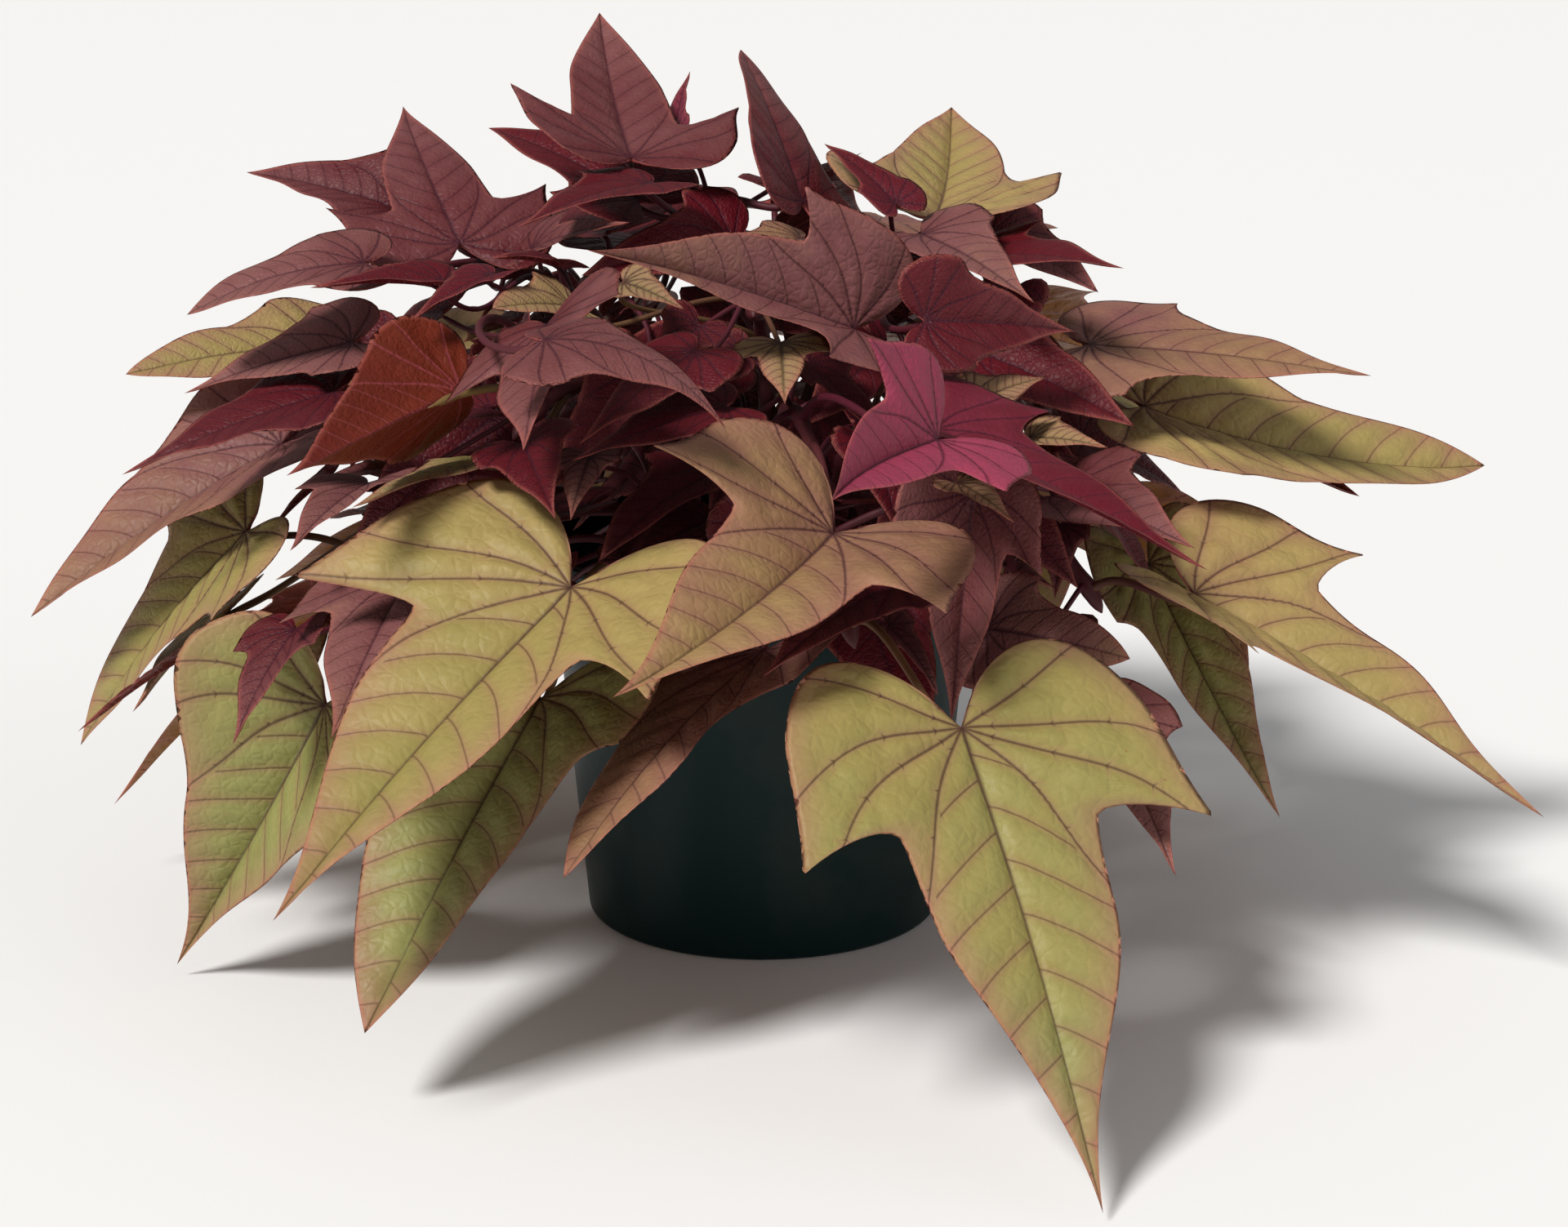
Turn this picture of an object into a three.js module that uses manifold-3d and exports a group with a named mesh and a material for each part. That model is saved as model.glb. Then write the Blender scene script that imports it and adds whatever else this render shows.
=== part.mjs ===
// Sweet potato vine in a nursery pot: a mound of lobed leaves on leafy stems that rise from the soil,
// lean over the rim and hang around the pot. Millimetres, +Z up, origin under the middle of the pot.
import * as THREE from 'three';
import { mergeVertices } from 'three/addons/utils/BufferGeometryUtils.js';
import Module from 'manifold-3d';

const wasm = await Module();
wasm.setup();

// Pot: a thin tapered shell with a straight band for a rim, on a foot ring with a raised drained floor.
const POT_HEIGHT = 108;
const POT_BASE_RADIUS = 49.5;
const POT_TOP_RADIUS = 58.5;
const RIM_RADIUS = 62;
const RIM_DEPTH = 13;
const POT_WALL = 1.6;
const FOOT_WIDTH = 5;
const FOOT_LIFT = 2.5;
const HUB_RADIUS = 14;
const DRAIN_RADIUS = 4;
const DRAIN_RING = 28;
const DRAIN_COUNT = 6;
const POT_SIDES = 26;
const DRAIN_SIDES = 8;

// Soil: fills the pot to a little below the rim, mounded in the middle.
const SOIL_EDGE = 95;
const SOIL_CROWN = 99;
const GAP = 0.3;
const HOLE_SIDES = 6;
const HOLE_RADIUS = 2.8;

// Stems and leaf stalks.
const STEM_RADIUS = 2.2;
const STEM_SIDES = 5;
const STEM_STEPS = 8;
const STEM_FOOT = 84;
const STEM_GROUND = 103;
const STEM_SAMPLES = 60;
const STALK_SIDES = 3;
const STALK_STEPS = 4;
const YOUNG_STALK_STEPS = 3;
const STALK_RADIUS = 1.15;
const YOUNG_STALK_RADIUS = 0.8;
const STALK_RISE = 0.3;
const STALK_APPROACH = 0.36;
const LOWEST_SEAT = 0.3;
const HIGHEST_SEAT = 0.95;
const LEAFY_SHARE = 0.55;

// Leaves: a leaf longer than MEDIUM gets more points on its midrib, one longer than LARGE a finer edge.
const BLADE = 0.8;
const LARGE = 75;
const MEDIUM = 45;
const CLEARANCE = 2.6;
const ROOT_ROOM = 9;
const JOINT_ROOM = 5;
const JOINT_SHARE = 0.16;
const SAMPLE = 2.5;
const LOWEST = 3;
const SHARPEST = 0.3;

// Points on the five runs of half a leaf's edge: on large, other and young leaves, and for finding room.
const EDGE_LARGE = [4, 1, 1, 1, 3];
const EDGE_OTHER = [3, 1, 1, 1, 2];
const EDGE_YOUNG = [2, 1, 1, 1, 2];
const EDGE_FINE = [8, 2, 3, 3, 10];
const RIB_LEAD = 0.75;

// Each leafy stem has its foot in the soil (x, y), two control points and an end, and its leaves from the
// end inwards: stalk joint, tip, roll, droop, fold (degrees), width (ratio), lobe (0 heart to 1 lobed) and,
// where they aren't 0, sweep (how far the midrib bows sideways, in lengths) and full (0 slender to 1 full).
const LEAFY_STEMS = {
  front_low: {
    foot: [7, -30],
    path: [[9, -34, 132], [14, -74, 140], [24, -100, 104]],
    leaves: [
      [[49, -152, 99], [80, -222, 3], -5, 15, 5, 1.1, 0.9, 0, -0.1],
      [[54, -92, 143], [49, -95, 82], 40, 10, 40, 1.05, 0.9],
      [[1, -95, 102], [-48, -150, 60], 20, 20, 5, 1.05, 0.2, 0, 0.8],
      [[34, -82, 112], [2, -122, 100], 20, 20, 5, 1, 0.5],
      [[-13, -70, 130], [-35, -101, 125], 0, 20, 10, 1, 0.4],
    ],
  },
  front_left_low: {
    foot: [-9, -31],
    path: [[-12, -36, 132], [-34, -68, 138], [-46, -84, 100]],
    leaves: [
      [[-47, -118, 125], [-113, -200, 67], 0, -5, 15, 1.15, 1, 0.03],
      [[-57, -88, 87], [-97, -160, 23], 0, 20, 20, 1.15, 0.3, -0.02, 0.8],
      [[-91, -85, 119], [-104, -151, 96], 0, 10, 5, 1.05, 0.8],
      [[-43, -95, 153], [-47, -117, 142], 0, 20, 10, 1, 0.5],
    ],
  },
  front_mid: {
    foot: [0, -20],
    path: [[2, -24, 150], [8, -56, 168], [14, -88, 150]],
    leaves: [
      [[18, -126, 141], [-33, -205, 123], -5, 0, 20, 1.15, 1, -0.03],
      [[43, -136, 167], [17, -200, 168], -25, -15, 30, 1, 0.9, 0.04],
      [[-9, -95, 166], [-47, -112, 156], 10, 15, 0, 1.05, 0.2],
    ],
  },
  front_right_mid: {
    foot: [17, -21],
    path: [[20, -26, 148], [34, -60, 170], [50, -84, 150]],
    leaves: [
      [[44, -108, 163], [110, -131, 133], -20, 5, 15, 1, 0.8],
      [[67, -108, 161], [86, -123, 162], 10, 20, 10, 1, 0.3],
      [[54, -102, 169], [73, -90, 177], 0, 20, 10, 1, 0.2],
      [[49, -118, 152], [62, -134, 146], 0, 20, 10, 1, 0.4],
    ],
  },
  left_mid: {
    foot: [-15, -15],
    path: [[-22, -20, 152], [-46, -44, 178], [-64, -72, 152]],
    leaves: [
      [[-76, -95, 170], [-113, -148, 161], 90, 10, 40, 1, 0.1],
      [[-53, -100, 188], [-56, -152, 168], 25, 5, 5, 1.2, 1],
      [[-53, -108, 186], [-8, -116, 171], -15, 70, -10, 1, 0.1],
      [[-65, -75, 148], [-100, -115, 139], 10, 20, 0, 1, 0.2],
      [[-102, -70, 140], [-118, -109, 132], -5, 20, 10, 1, 0.6],
      [[-60, -90, 155], [-49, -121, 139], 0, 20, 10, 1, 0.3],
    ],
  },
  far_left: {
    foot: [-20, 0],
    path: [[-28, -2, 150], [-66, -12, 176], [-100, -22, 142]],
    leaves: [
      [[-131, -18, 138], [-197, -42, 96], -20, 15, 20, 1, 0, 0, 0.6],
      [[-112, -55, 161], [-166, -69, 142], -5, 15, 5, 1.05, 0.1],
      [[-109, -35, 170], [-154, -34, 156], -15, 15, 10, 1, 0.3],
      [[-121, 8, 160], [-173, -15, 157], -40, 20, 5, 0.95, 0.1, 0, 1],
      [[-78, -35, 157], [-116, -52, 123], -35, 20, 10, 1.1, 0.4, 0, 0.4],
      [[-103, -10, 162], [-143, -22, 130], -35, 20, 10, 1.1, 0.4, 0, 0.4],
    ],
  },
  left_low: {
    foot: [-31, -12],
    path: [[-38, -16, 132], [-68, -32, 136], [-102, -46, 98]],
    leaves: [
      [[-139, -35, 118], [-187, -34, 57], -20, 20, 10, 1, 0.4, 0, 0.7],
      [[-115, -70, 80], [-158, -66, 5], -45, 10, 35, 1.25, 0, -0.02],
      [[-118, -62, 110], [-179, -95, 83], 10, 30, 5, 1.05, 0.5, 0.03],
      [[-131, -55, 96], [-147, -80, 52], -5, 20, 10, 1, 0.5],
      [[-140, -40, 92], [-165, -75, 77], 0, 20, 10, 1, 0.3],
      [[-123, -65, 99], [-136, -94, 77], 0, 20, 10, 1, 0.5],
    ],
  },
  right_mid: {
    foot: [28, -13],
    path: [[33, -16, 140], [52, -36, 150], [68, -52, 128]],
    leaves: [
      [[76, -60, 134], [109, -110, 133], 25, 20, 10, 1.05, 0.3],
      [[40, -60, 145], [21, -80, 115], -15, 20, 10, 1.1, 0.3, 0, 0.4],
      [[57, -46, 135], [84, -62, 109], 30, 20, 10, 1.1, 0.4, 0, 0.4],
    ],
  },
  right_low: {
    foot: [33, 1],
    path: [[40, -4, 132], [72, -24, 134], [92, -38, 96]],
    leaves: [
      [[115, -55, 106], [203, -95, 57], 5, 5, 20, 1, 0.8, -0.02],
      [[106, -20, 105], [139, -65, 46], 30, 15, 20, 0.8, 0.3, 0.03, 0.2],
      [[58, -88, 106], [94, -106, 103], 30, 20, 0, 1.2, 0.3, 0, 1],
      [[84, -110, 91], [102, -152, 61], 0, 20, 10, 1, 0.3],
    ],
  },
  far_right: {
    foot: [21, 5],
    path: [[28, 4, 150], [58, -2, 174], [86, -10, 148]],
    leaves: [
      [[89, -14, 165], [162, -40, 162], 20, 10, 0, 1, 0.3, 0, 0.2],
      [[105, -6, 146], [202, 8, 126], 20, 5, 15, 0.95, 0.1, 0.1, 1],
      [[124, 4, 132], [165, -8, 121], 20, 20, 20, 0.8, 0.2, 0, 0.6],
      [[57, -20, 165], [99, -38, 148], 40, 20, 10, 1.1, 0.4, 0, 0.4],
    ],
  },
  crown_front: {
    foot: [2, -6],
    path: [[2, -9, 150], [0, -22, 184], [-2, -50, 180]],
    leaves: [
      [[24, -66, 180], [-42, -112, 209], -25, -15, 35, 0.9, 0.8, 0.05],
      [[5, -82, 183], [6, -105, 172], 5, 15, 0, 1.3, 1],
      [[-17, -80, 177], [-45, -106, 159], 5, 15, -5, 1, 0.4],
      [[-48, -72, 187], [-67, -94, 191], -20, 20, 10, 1.2, 0.2, 0, 1],
      [[-35, -70, 193], [-19, -81, 188], 0, 20, 10, 1, 0.2],
      [[37, -52, 168], [11, -72, 147], -25, 20, 10, 1.1, 0.3, 0, 0.4],
      [[-9, -38, 172], [-42, -60, 171], -35, 20, 10, 1.1, 0.5, 0, 0.4],
    ],
  },
  crown_top: {
    foot: [-6, 10],
    path: [[-8, 12, 150], [-12, 8, 184], [-14, 2, 204]],
    leaves: [
      [[-35, -14, 216], [-46, 50, 247], 35, -20, 15, 1.1, 1, 0, 0.5],
      [[11, -13, 204], [-6, 32, 239], 15, 15, 5, 1.05, 0, -0.03, 0.9],
      [[-33, -22, 206], [-76, 10, 221], 15, 20, 10, 1.05, 0.6, 0, 0.6],
      [[-30, -25, 215], [-63, -58, 209], -5, 20, 5, 1, 0.3],
      [[11, -25, 200], [-13, -43, 200], 15, 20, 5, 1, 0.2],
      [[-27, 10, 219], [-23, 24, 236], 0, 20, 10, 1, 0.2],
      [[-10, -18, 197], [-50, -38, 192], -10, 20, 15, 1.05, 0.4, 0, 0.5],
    ],
  },
  crown_right: {
    foot: [11, 12],
    path: [[16, 12, 150], [28, 6, 176], [38, -6, 188]],
    leaves: [
      [[47, 2, 197], [55, 86, 215], -20, -20, 20, 1.05, 0.5, 0.02, 0.6],
      [[51, -2, 190], [94, -46, 196], 30, 20, 5, 1, 0.5],
      [[43, -18, 196], [71, -57, 185], 25, 20, 10, 1, 0.2],
      [[43, -50, 179], [83, -30, 172], 50, 20, 20, 1, 0.2],
      [[35, -12, 200], [16, 8, 213], -15, 20, 10, 0.9, 0.3, 0, 0.4],
      [[63, 8, 192], [92, -8, 178], 35, 20, 10, 1.2, 0.2, 0, 0.6],
    ],
  },
  crown_left: {
    foot: [-20, 15],
    path: [[-28, 14, 150], [-52, 0, 186], [-74, -14, 186]],
    leaves: [
      [[-81, -20, 194], [-101, 40, 222], 25, 25, 0, 1.05, 1, -0.03],
      [[-102, 24, 196], [-146, 42, 203], -20, 15, 20, 1.05, 0.1, 0, 0.3],
      [[-105, -38, 192], [-151, -42, 179], -10, 35, 5, 1, 0.1, 0, 1],
      [[-83, -50, 189], [-116, -62, 190], 0, 20, 15, 0.9, 0.2],
      [[-61, -35, 195], [-34, -50, 205], 0, 20, 10, 1, 0.9],
      [[-70, -55, 192], [-89, -73, 184], 0, 20, 10, 1, 0.3],
      [[-52, -50, 194], [-69, -67, 193], -5, 20, 10, 1, 0.3],
      [[-36, -52, 169], [-60, -66, 143], -30, 20, 10, 1.1, 0.3, 0, 0.4],
    ],
  },
  back_right: { foot: [24, 22], path: [[32, 28, 145], [66, 44, 165], [84, 54, 128]], leaves: [] },
  back_mid: { foot: [6, 30], path: [[10, 38, 145], [24, 74, 165], [28, 96, 128]], leaves: [] },
  back_left: { foot: [-12, 27], path: [[-18, 36, 145], [-40, 66, 165], [-54, 84, 128]], leaves: [] },
  far_back_left: { foot: [-30, 16], path: [[-38, 20, 145], [-70, 28, 162], [-96, 38, 134]], leaves: [] },
};

// The far side of the mound, in tiers: where the leaves join their stalks, how far they pitch down.
const BACK_TIERS = [
  { count: 7, start: 31, step: 22, radius: 112, height: 96, length: 112, pitch: 46, lobe: 0.8 },
  { count: 6, start: 26, step: 25, radius: 96, height: 144, length: 96, pitch: 22, lobe: 0.5 },
  { count: 5, start: 38, step: 27, radius: 58, height: 188, length: 72, pitch: 4, lobe: 0.4 },
];
const BACK_STEMS = ['back_right', 'back_mid', 'back_left', 'far_back_left'];
const BACK_SEED = 4711;

const POT_COLOUR = '#14332f';
const POT_ROUGHNESS = 0.45;
const SOIL_COLOUR = '#33241b';
const SOIL_ROUGHNESS = 0.95;
const LEAF_ROUGHNESS = 0.55;
const STEM_COLOURS = {
  front_low: '#8f9448',
  front_left_low: '#a8964b',
  front_mid: '#a9794f',
  front_right_mid: '#8a3a5c',
  left_mid: '#8a4038',
  far_left: '#7d5450',
  left_low: '#8d8f5c',
  right_mid: '#6d3d3c',
  right_low: '#bfa55f',
  far_right: '#b78f5e',
  crown_front: '#96625a',
  crown_top: '#6c3236',
  crown_right: '#8c4a3c',
  crown_left: '#66343c',
  back_right: '#9a8a50',
  back_mid: '#8a7c50',
  back_left: '#96645a',
  far_back_left: '#7a5250',
};

const UP = new THREE.Vector3(0, 0, 1);
const VIEWER = new THREE.Vector3(6, -1063, 384);
const radians = THREE.MathUtils.degToRad;
const { lerp } = THREE.MathUtils;

// A repeatable stream of draws between 0 and 1.
function drawer(seed) {
  let state = seed;
  return () => {
    state = (state * 16807) % 2147483647;
    return state / 2147483647;
  };
}

// Solids: a BufferGeometry becomes a manifold solid, and back.
function solidOf(geometry) {
  const bare = geometry.clone();
  bare.deleteAttribute('normal');
  bare.deleteAttribute('uv');
  const merged = mergeVertices(bare, 1e-4);
  return new wasm.Manifold(new wasm.Mesh({
    numProp: 3,
    vertProperties: new Float32Array(merged.attributes.position.array),
    triVerts: new Uint32Array(merged.index.array),
  }));
}

function geometryOf(solid) {
  const mesh = solid.getMesh();
  const geometry = new THREE.BufferGeometry();
  geometry.setAttribute('position', new THREE.BufferAttribute(new Float32Array(mesh.vertProperties), 3));
  geometry.setIndex(new THREE.BufferAttribute(new Uint32Array(mesh.triVerts), 1));
  geometry.computeVertexNormals();
  return geometry;
}

function turned(profile, sides) {
  const points = profile.map(([radius, height]) => new THREE.Vector2(radius, height));
  return solidOf(new THREE.LatheGeometry(points, sides).rotateX(Math.PI / 2));
}

function post(radius, bottom, top, x, y, sides) {
  const cylinder = new THREE.CylinderGeometry(radius, radius, top - bottom, sides).rotateX(Math.PI / 2);
  return solidOf(cylinder.translate(x, y, (top + bottom) / 2));
}

// A tube along a curve, as an extruded round section.
function tube(curve, radius, sides, steps) {
  const section = new THREE.Shape();
  for (let side = 0; side < sides; side += 1) {
    const angle = (2 * Math.PI * side) / sides;
    const point = [radius * Math.cos(angle), radius * Math.sin(angle)];
    if (side === 0) section.moveTo(...point);
    else section.lineTo(...point);
  }
  return solidOf(new THREE.ExtrudeGeometry(section, { steps, bevelEnabled: false, extrudePath: curve }));
}

// Half of a leaf's edge from the stalk joint round to the tip, x sideways and y towards the tip, in leaf
// lengths: the back lobe, the side, the pointed side lobe, the notch above it and the drawn-out tip.
function halfEdge(lobe, full, counts) {
  const side = [0.365, 0];
  const point = [lerp(0.33, 0.42, lobe), lerp(0.2, 0.29, lobe)];
  const notch = [lerp(0.285, 0.195, lobe), lerp(0.29, 0.215, lobe)];
  const shoulder = [lerp(0.2, 0.172, lobe), lerp(0.45, 0.43, lobe)];
  const runs = [
    [[0.012, -0.015], [0.06, -0.14], [0.26, -0.3], side],
    [side, [0.385, 0.08], [lerp(0.365, 0.37, lobe), lerp(0.13, 0.17, lobe)], point],
    [point, [lerp(0.32, 0.34, lobe), lerp(0.22, 0.235, lobe)],
      [lerp(0.3, 0.235, lobe), lerp(0.26, 0.195, lobe)], notch],
    [notch, [lerp(0.26, 0.18, lobe), lerp(0.33, 0.27, lobe)],
      [lerp(0.225, 0.178, lobe), lerp(0.39, 0.36, lobe)], shoulder],
    [shoulder, [lerp(0.15, 0.19, full), lerp(0.62, 0.66, full)],
      [lerp(0.035, 0.11, full), lerp(0.74, 0.88, full)], [0, 1]],
  ];
  const edge = [];
  runs.forEach((run, index) => {
    const curve = new THREE.CubicBezierCurve(...run.map(([x, y]) => new THREE.Vector2(x, y)));
    for (let step = 0; step < counts[index]; step += 1) edge.push(curve.getPoint(step / counts[index]));
  });
  edge.push(new THREE.Vector2(0, 1));
  return edge;
}

function leafEdge({ lobe, full }, counts) {
  const right = halfEdge(lobe, full, counts);
  const left = right.slice(0, -1).reverse().map((point) => new THREE.Vector2(-point.x, point.y));
  return [...right, ...left];
}

// Where a leaf's blade lies: its midrib is an arc from the joint to the tip that turns down by the droop,
// and its two halves rise from the midrib by the fold.
class Blade {
  constructor([at, tip, roll, droop, fold, width, lobe, sweep = 0, full = 0], move = [0, 0, 0, 0, 0]) {
    const [depth, lift, pitch, turn, slide] = move;
    const first = Blade.axes(new THREE.Vector3(...at), new THREE.Vector3(...tip), roll);
    const shift = new THREE.Vector3(...at).sub(VIEWER).setLength(depth)
      .addScaledVector(first.normal, lift).addScaledVector(first.across, slide);
    this.at = new THREE.Vector3(...at).add(shift);
    this.tip = new THREE.Vector3(...tip).add(shift).addScaledVector(first.normal, pitch);
    Object.assign(this, Blade.axes(this.at, this.tip, roll + turn, at));
    this.droop = radians(Math.abs(droop) < 1 ? 1 : droop);
    this.fold = radians(fold);
    Object.assign(this, { width, lobe, sweep, full });
    this.length = (this.at.distanceTo(this.tip) * (this.droop / 2)) / Math.sin(this.droop / 2);
    this.bend = this.length / this.droop;
  }

  // Axes of a blade from `at` to `tip` that faces up and away from the pot's axis, as seen at `place`.
  static axes(at, tip, roll, place = at.toArray()) {
    const along = tip.clone().sub(at).normalize();
    const outward = new THREE.Vector3(place[0], place[1], 0);
    if (outward.length() > 1) outward.normalize();
    else outward.set(0, -1, 0);
    const normal = UP.clone().addScaledVector(outward, 0.5);
    normal.addScaledVector(along, -normal.dot(along)).normalize();
    const across = new THREE.Vector3().crossVectors(along, normal);
    normal.applyAxisAngle(along, radians(roll));
    across.applyAxisAngle(along, radians(roll));
    return { along, normal, across };
  }

  // Direction of the blade's upper side at the share y of the length.
  upAt(y) {
    const angle = (Math.max(y, 0) * this.length) / this.bend - this.droop / 2;
    return this.along.clone().multiplyScalar(Math.sin(angle)).addScaledVector(this.normal, Math.cos(angle));
  }

  // Direction in which the midrib leaves the joint.
  get start() {
    const half = this.droop / 2;
    return this.along.clone().multiplyScalar(Math.cos(half)).addScaledVector(this.normal, Math.sin(half));
  }

  // The point of the blade at x sideways and y along, in leaf lengths, raised by `height`.
  point(x, y, height = 0) {
    const half = this.droop / 2;
    const angle = (Math.max(y, 0) * this.length) / this.bend - half;
    const side = x * this.length * this.width;
    const bowed = 4 * this.sweep * Math.max(y, 0) * (1 - y) * this.length;
    return this.at.clone()
      .addScaledVector(this.along, this.bend * (Math.sin(angle) + Math.sin(half)))
      .addScaledVector(this.normal, this.bend * (Math.cos(angle) - Math.cos(half)))
      .addScaledVector(this.start, Math.min(y, 0) * this.length)
      .addScaledVector(this.across, side * Math.cos(this.fold) + bowed)
      .addScaledVector(this.upAt(y), Math.abs(side) * Math.sin(this.fold) + height);
  }

  // Points all over the blade, about `spacing` apart.
  samples(spacing) {
    const step = spacing / this.length;
    const edge = leafEdge(this, EDGE_FINE);
    const found = edge.map(({ x, y }) => this.point(x, y));
    for (let y = -0.2; y < 1; y += step) {
      for (let x = -0.42; x <= 0.42; x += step / this.width) {
        if (insideEdge(edge, x, y)) found.push(this.point(x, y));
      }
    }
    return found;
  }

  // The blade's solid: each half is a strip of triangles between the midrib and the edge, the same on both
  // faces, closed by a narrow wall along the edge.
  solid() {
    const counts = this.length > MEDIUM ? EDGE_OTHER : EDGE_YOUNG;
    const edge = leafEdge(this, this.length > LARGE ? EDGE_LARGE : counts);
    const ribs = this.length > MEDIUM ? 4 : 2;
    const last = edge.length;
    const middle = (edge.length - 1) / 2;
    const plan = [...edge, new THREE.Vector2(0, 0)];
    for (let rib = 1; rib < ribs; rib += 1) plan.push(new THREE.Vector2(0, rib / ribs));
    const faces = [...halfStrip(plan, 0, middle, last, ribs, false),
      ...halfStrip(plan, edge.length - 1, middle, last, ribs, true)];
    const count = plan.length;
    const under = faces.map(([a, b, c]) => [a + count, c + count, b + count]);
    const loop = [last, ...edge.keys()];
    const walls = loop.flatMap((a, index) => {
      const b = loop[(index + 1) % loop.length];
      return [[a, a + count, b + count], [a, b + count, b]];
    });
    const corners = [BLADE / 2, -BLADE / 2].flatMap((height) => (
      plan.map(({ x, y }) => this.point(x, y, height))));
    const geometry = new THREE.BufferGeometry().setFromPoints(corners);
    geometry.setIndex([...faces, ...under, ...walls].flat());
    return solidOf(geometry);
  }
}

// Triangles between the edge, walked from `from` to the tip at `tip`, and the midrib, whose first point is
// `joint` and which the walk follows upwards as the edge rises past it.
function halfStrip(plan, from, tip, joint, ribs, mirrored) {
  const step = Math.sign(tip - from);
  const faces = [];
  let rib = 0;
  for (let index = from; index !== tip; index += step) {
    const next = index + step;
    faces.push([joint + rib, index, next]);
    if (next === tip) break;
    while (rib + 1 < ribs && (plan[next].y > (rib + RIB_LEAD) / ribs || next + step === tip)) {
      faces.push([joint + rib, next, joint + rib + 1]);
      rib += 1;
    }
  }
  return mirrored ? faces.map(([a, b, c]) => [a, c, b]) : faces;
}

function insideEdge(edge, x, y) {
  let inside = false;
  edge.forEach((a, index) => {
    const b = edge[(index + 1) % edge.length];
    if (a.y > y !== b.y > y && x < ((b.x - a.x) * (y - a.y)) / (b.y - a.y) + a.x) inside = !inside;
  });
  return inside;
}

// Points of everything that is already placed, in a grid of cells, to keep new leaves clear of it.
class Crowd {
  constructor(cell) {
    this.cell = cell;
    this.cells = new Map();
  }

  key(x, y, z) {
    return (x + 512) * 1048576 + (y + 512) * 1024 + z + 512;
  }

  add(points, radius, owner) {
    points.forEach((point) => {
      const [x, y, z] = point.toArray().map((value) => Math.floor(value / this.cell));
      const key = this.key(x, y, z);
      if (!this.cells.has(key)) this.cells.set(key, []);
      this.cells.get(key).push({ point, radius, owner });
    });
  }

  touches(points, radius, exempt = () => false) {
    return points.some((point) => {
      const [x, y, z] = point.toArray().map((value) => Math.floor(value / this.cell));
      for (let i = x - 1; i <= x + 1; i += 1) {
        for (let j = y - 1; j <= y + 1; j += 1) {
          for (let k = z - 1; k <= z + 1; k += 1) {
            const near = this.cells.get(this.key(i, j, k)) ?? [];
            const hit = ({ point: other, radius: spread }) => (
              other.distanceTo(point) < CLEARANCE + radius + spread);
            if (near.some((other) => hit(other) && !exempt(other, point))) return true;
          }
        }
      }
      return false;
    });
  }
}

// Small changes of a leaf's place, from none upwards: depth along the line of sight from the front, lift
// along its normal, pitch of the tip, turn, slide.
function movesByCost() {
  const depths = [0, 4, -4, 8, -8, 12, -12, 16, -16, 22, -22, 28, -28];
  const moves = [];
  depths.forEach((depth) => [0, 4, -4, 8, -8].forEach((lift) => [0, 6, -6, 12, -12].forEach((pitch) => {
    [0, 14, -14].forEach((turn) => [0, 6, -6].forEach((slide) => {
      moves.push([depth, lift, pitch, turn, slide]);
    }));
  })));
  const cost = ([depth, lift, pitch, turn, slide]) => (
    Math.abs(depth) + 3 * Math.abs(lift) + 2 * Math.abs(pitch) + Math.abs(turn) + 4 * Math.abs(slide));
  return moves.sort((a, b) => cost(a) - cost(b));
}

// Ways for a stalk to run: shift of its root along the stem, bow upwards, angle under the blade.
function stalkWays() {
  const ways = [];
  for (const shift of [0, -0.1, 0.1, -0.2]) {
    for (const bow of [0.9, 0.3, 1.6]) {
      for (const angle of [50, 80, 20]) ways.push([shift, bow, angle]);
    }
  }
  return ways;
}

// A stalk's curve, from the stem up and over to the joint, where it sinks into the midrib from below.
function stalkCurve(stem, seat, blade, radius, [shift, bow, angle]) {
  const root = stem.getPoint(Math.min(Math.max(seat + shift, LOWEST_SEAT), HIGHEST_SEAT));
  const reach = root.distanceTo(blade.at);
  const { along, normal } = Blade.axes(root, blade.at, 0);
  const rise = root.clone().addScaledVector(along, STALK_RISE * reach)
    .addScaledVector(normal, STALK_RISE * reach * bow);
  const arrival = blade.start.multiplyScalar(Math.cos(radians(angle)))
    .addScaledVector(blade.normal, Math.sin(radians(angle)));
  const approach = blade.at.clone().addScaledVector(arrival, -STALK_APPROACH * reach);
  const sunk = BLADE / 3 - 0.5 * radius * Math.cos(radians(angle));
  return new THREE.CubicBezierCurve3(root, rise, approach, blade.point(0, 0.05, sunk));
}

// Whether a stalk turns so sharply that its tube would fold over itself.
function turnsSharply(curve, steps) {
  const headings = [];
  for (let step = 0; step <= steps; step += 1) headings.push(curve.getTangentAt(step / steps));
  return headings.some((heading, index) => index > 0 && heading.dot(headings[index - 1]) < SHARPEST);
}

// The share of the stem's length at which a leaf's stalk has its root.
function seatOf(index, count) {
  return 1 - (LEAFY_SHARE * index) / count;
}

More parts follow.
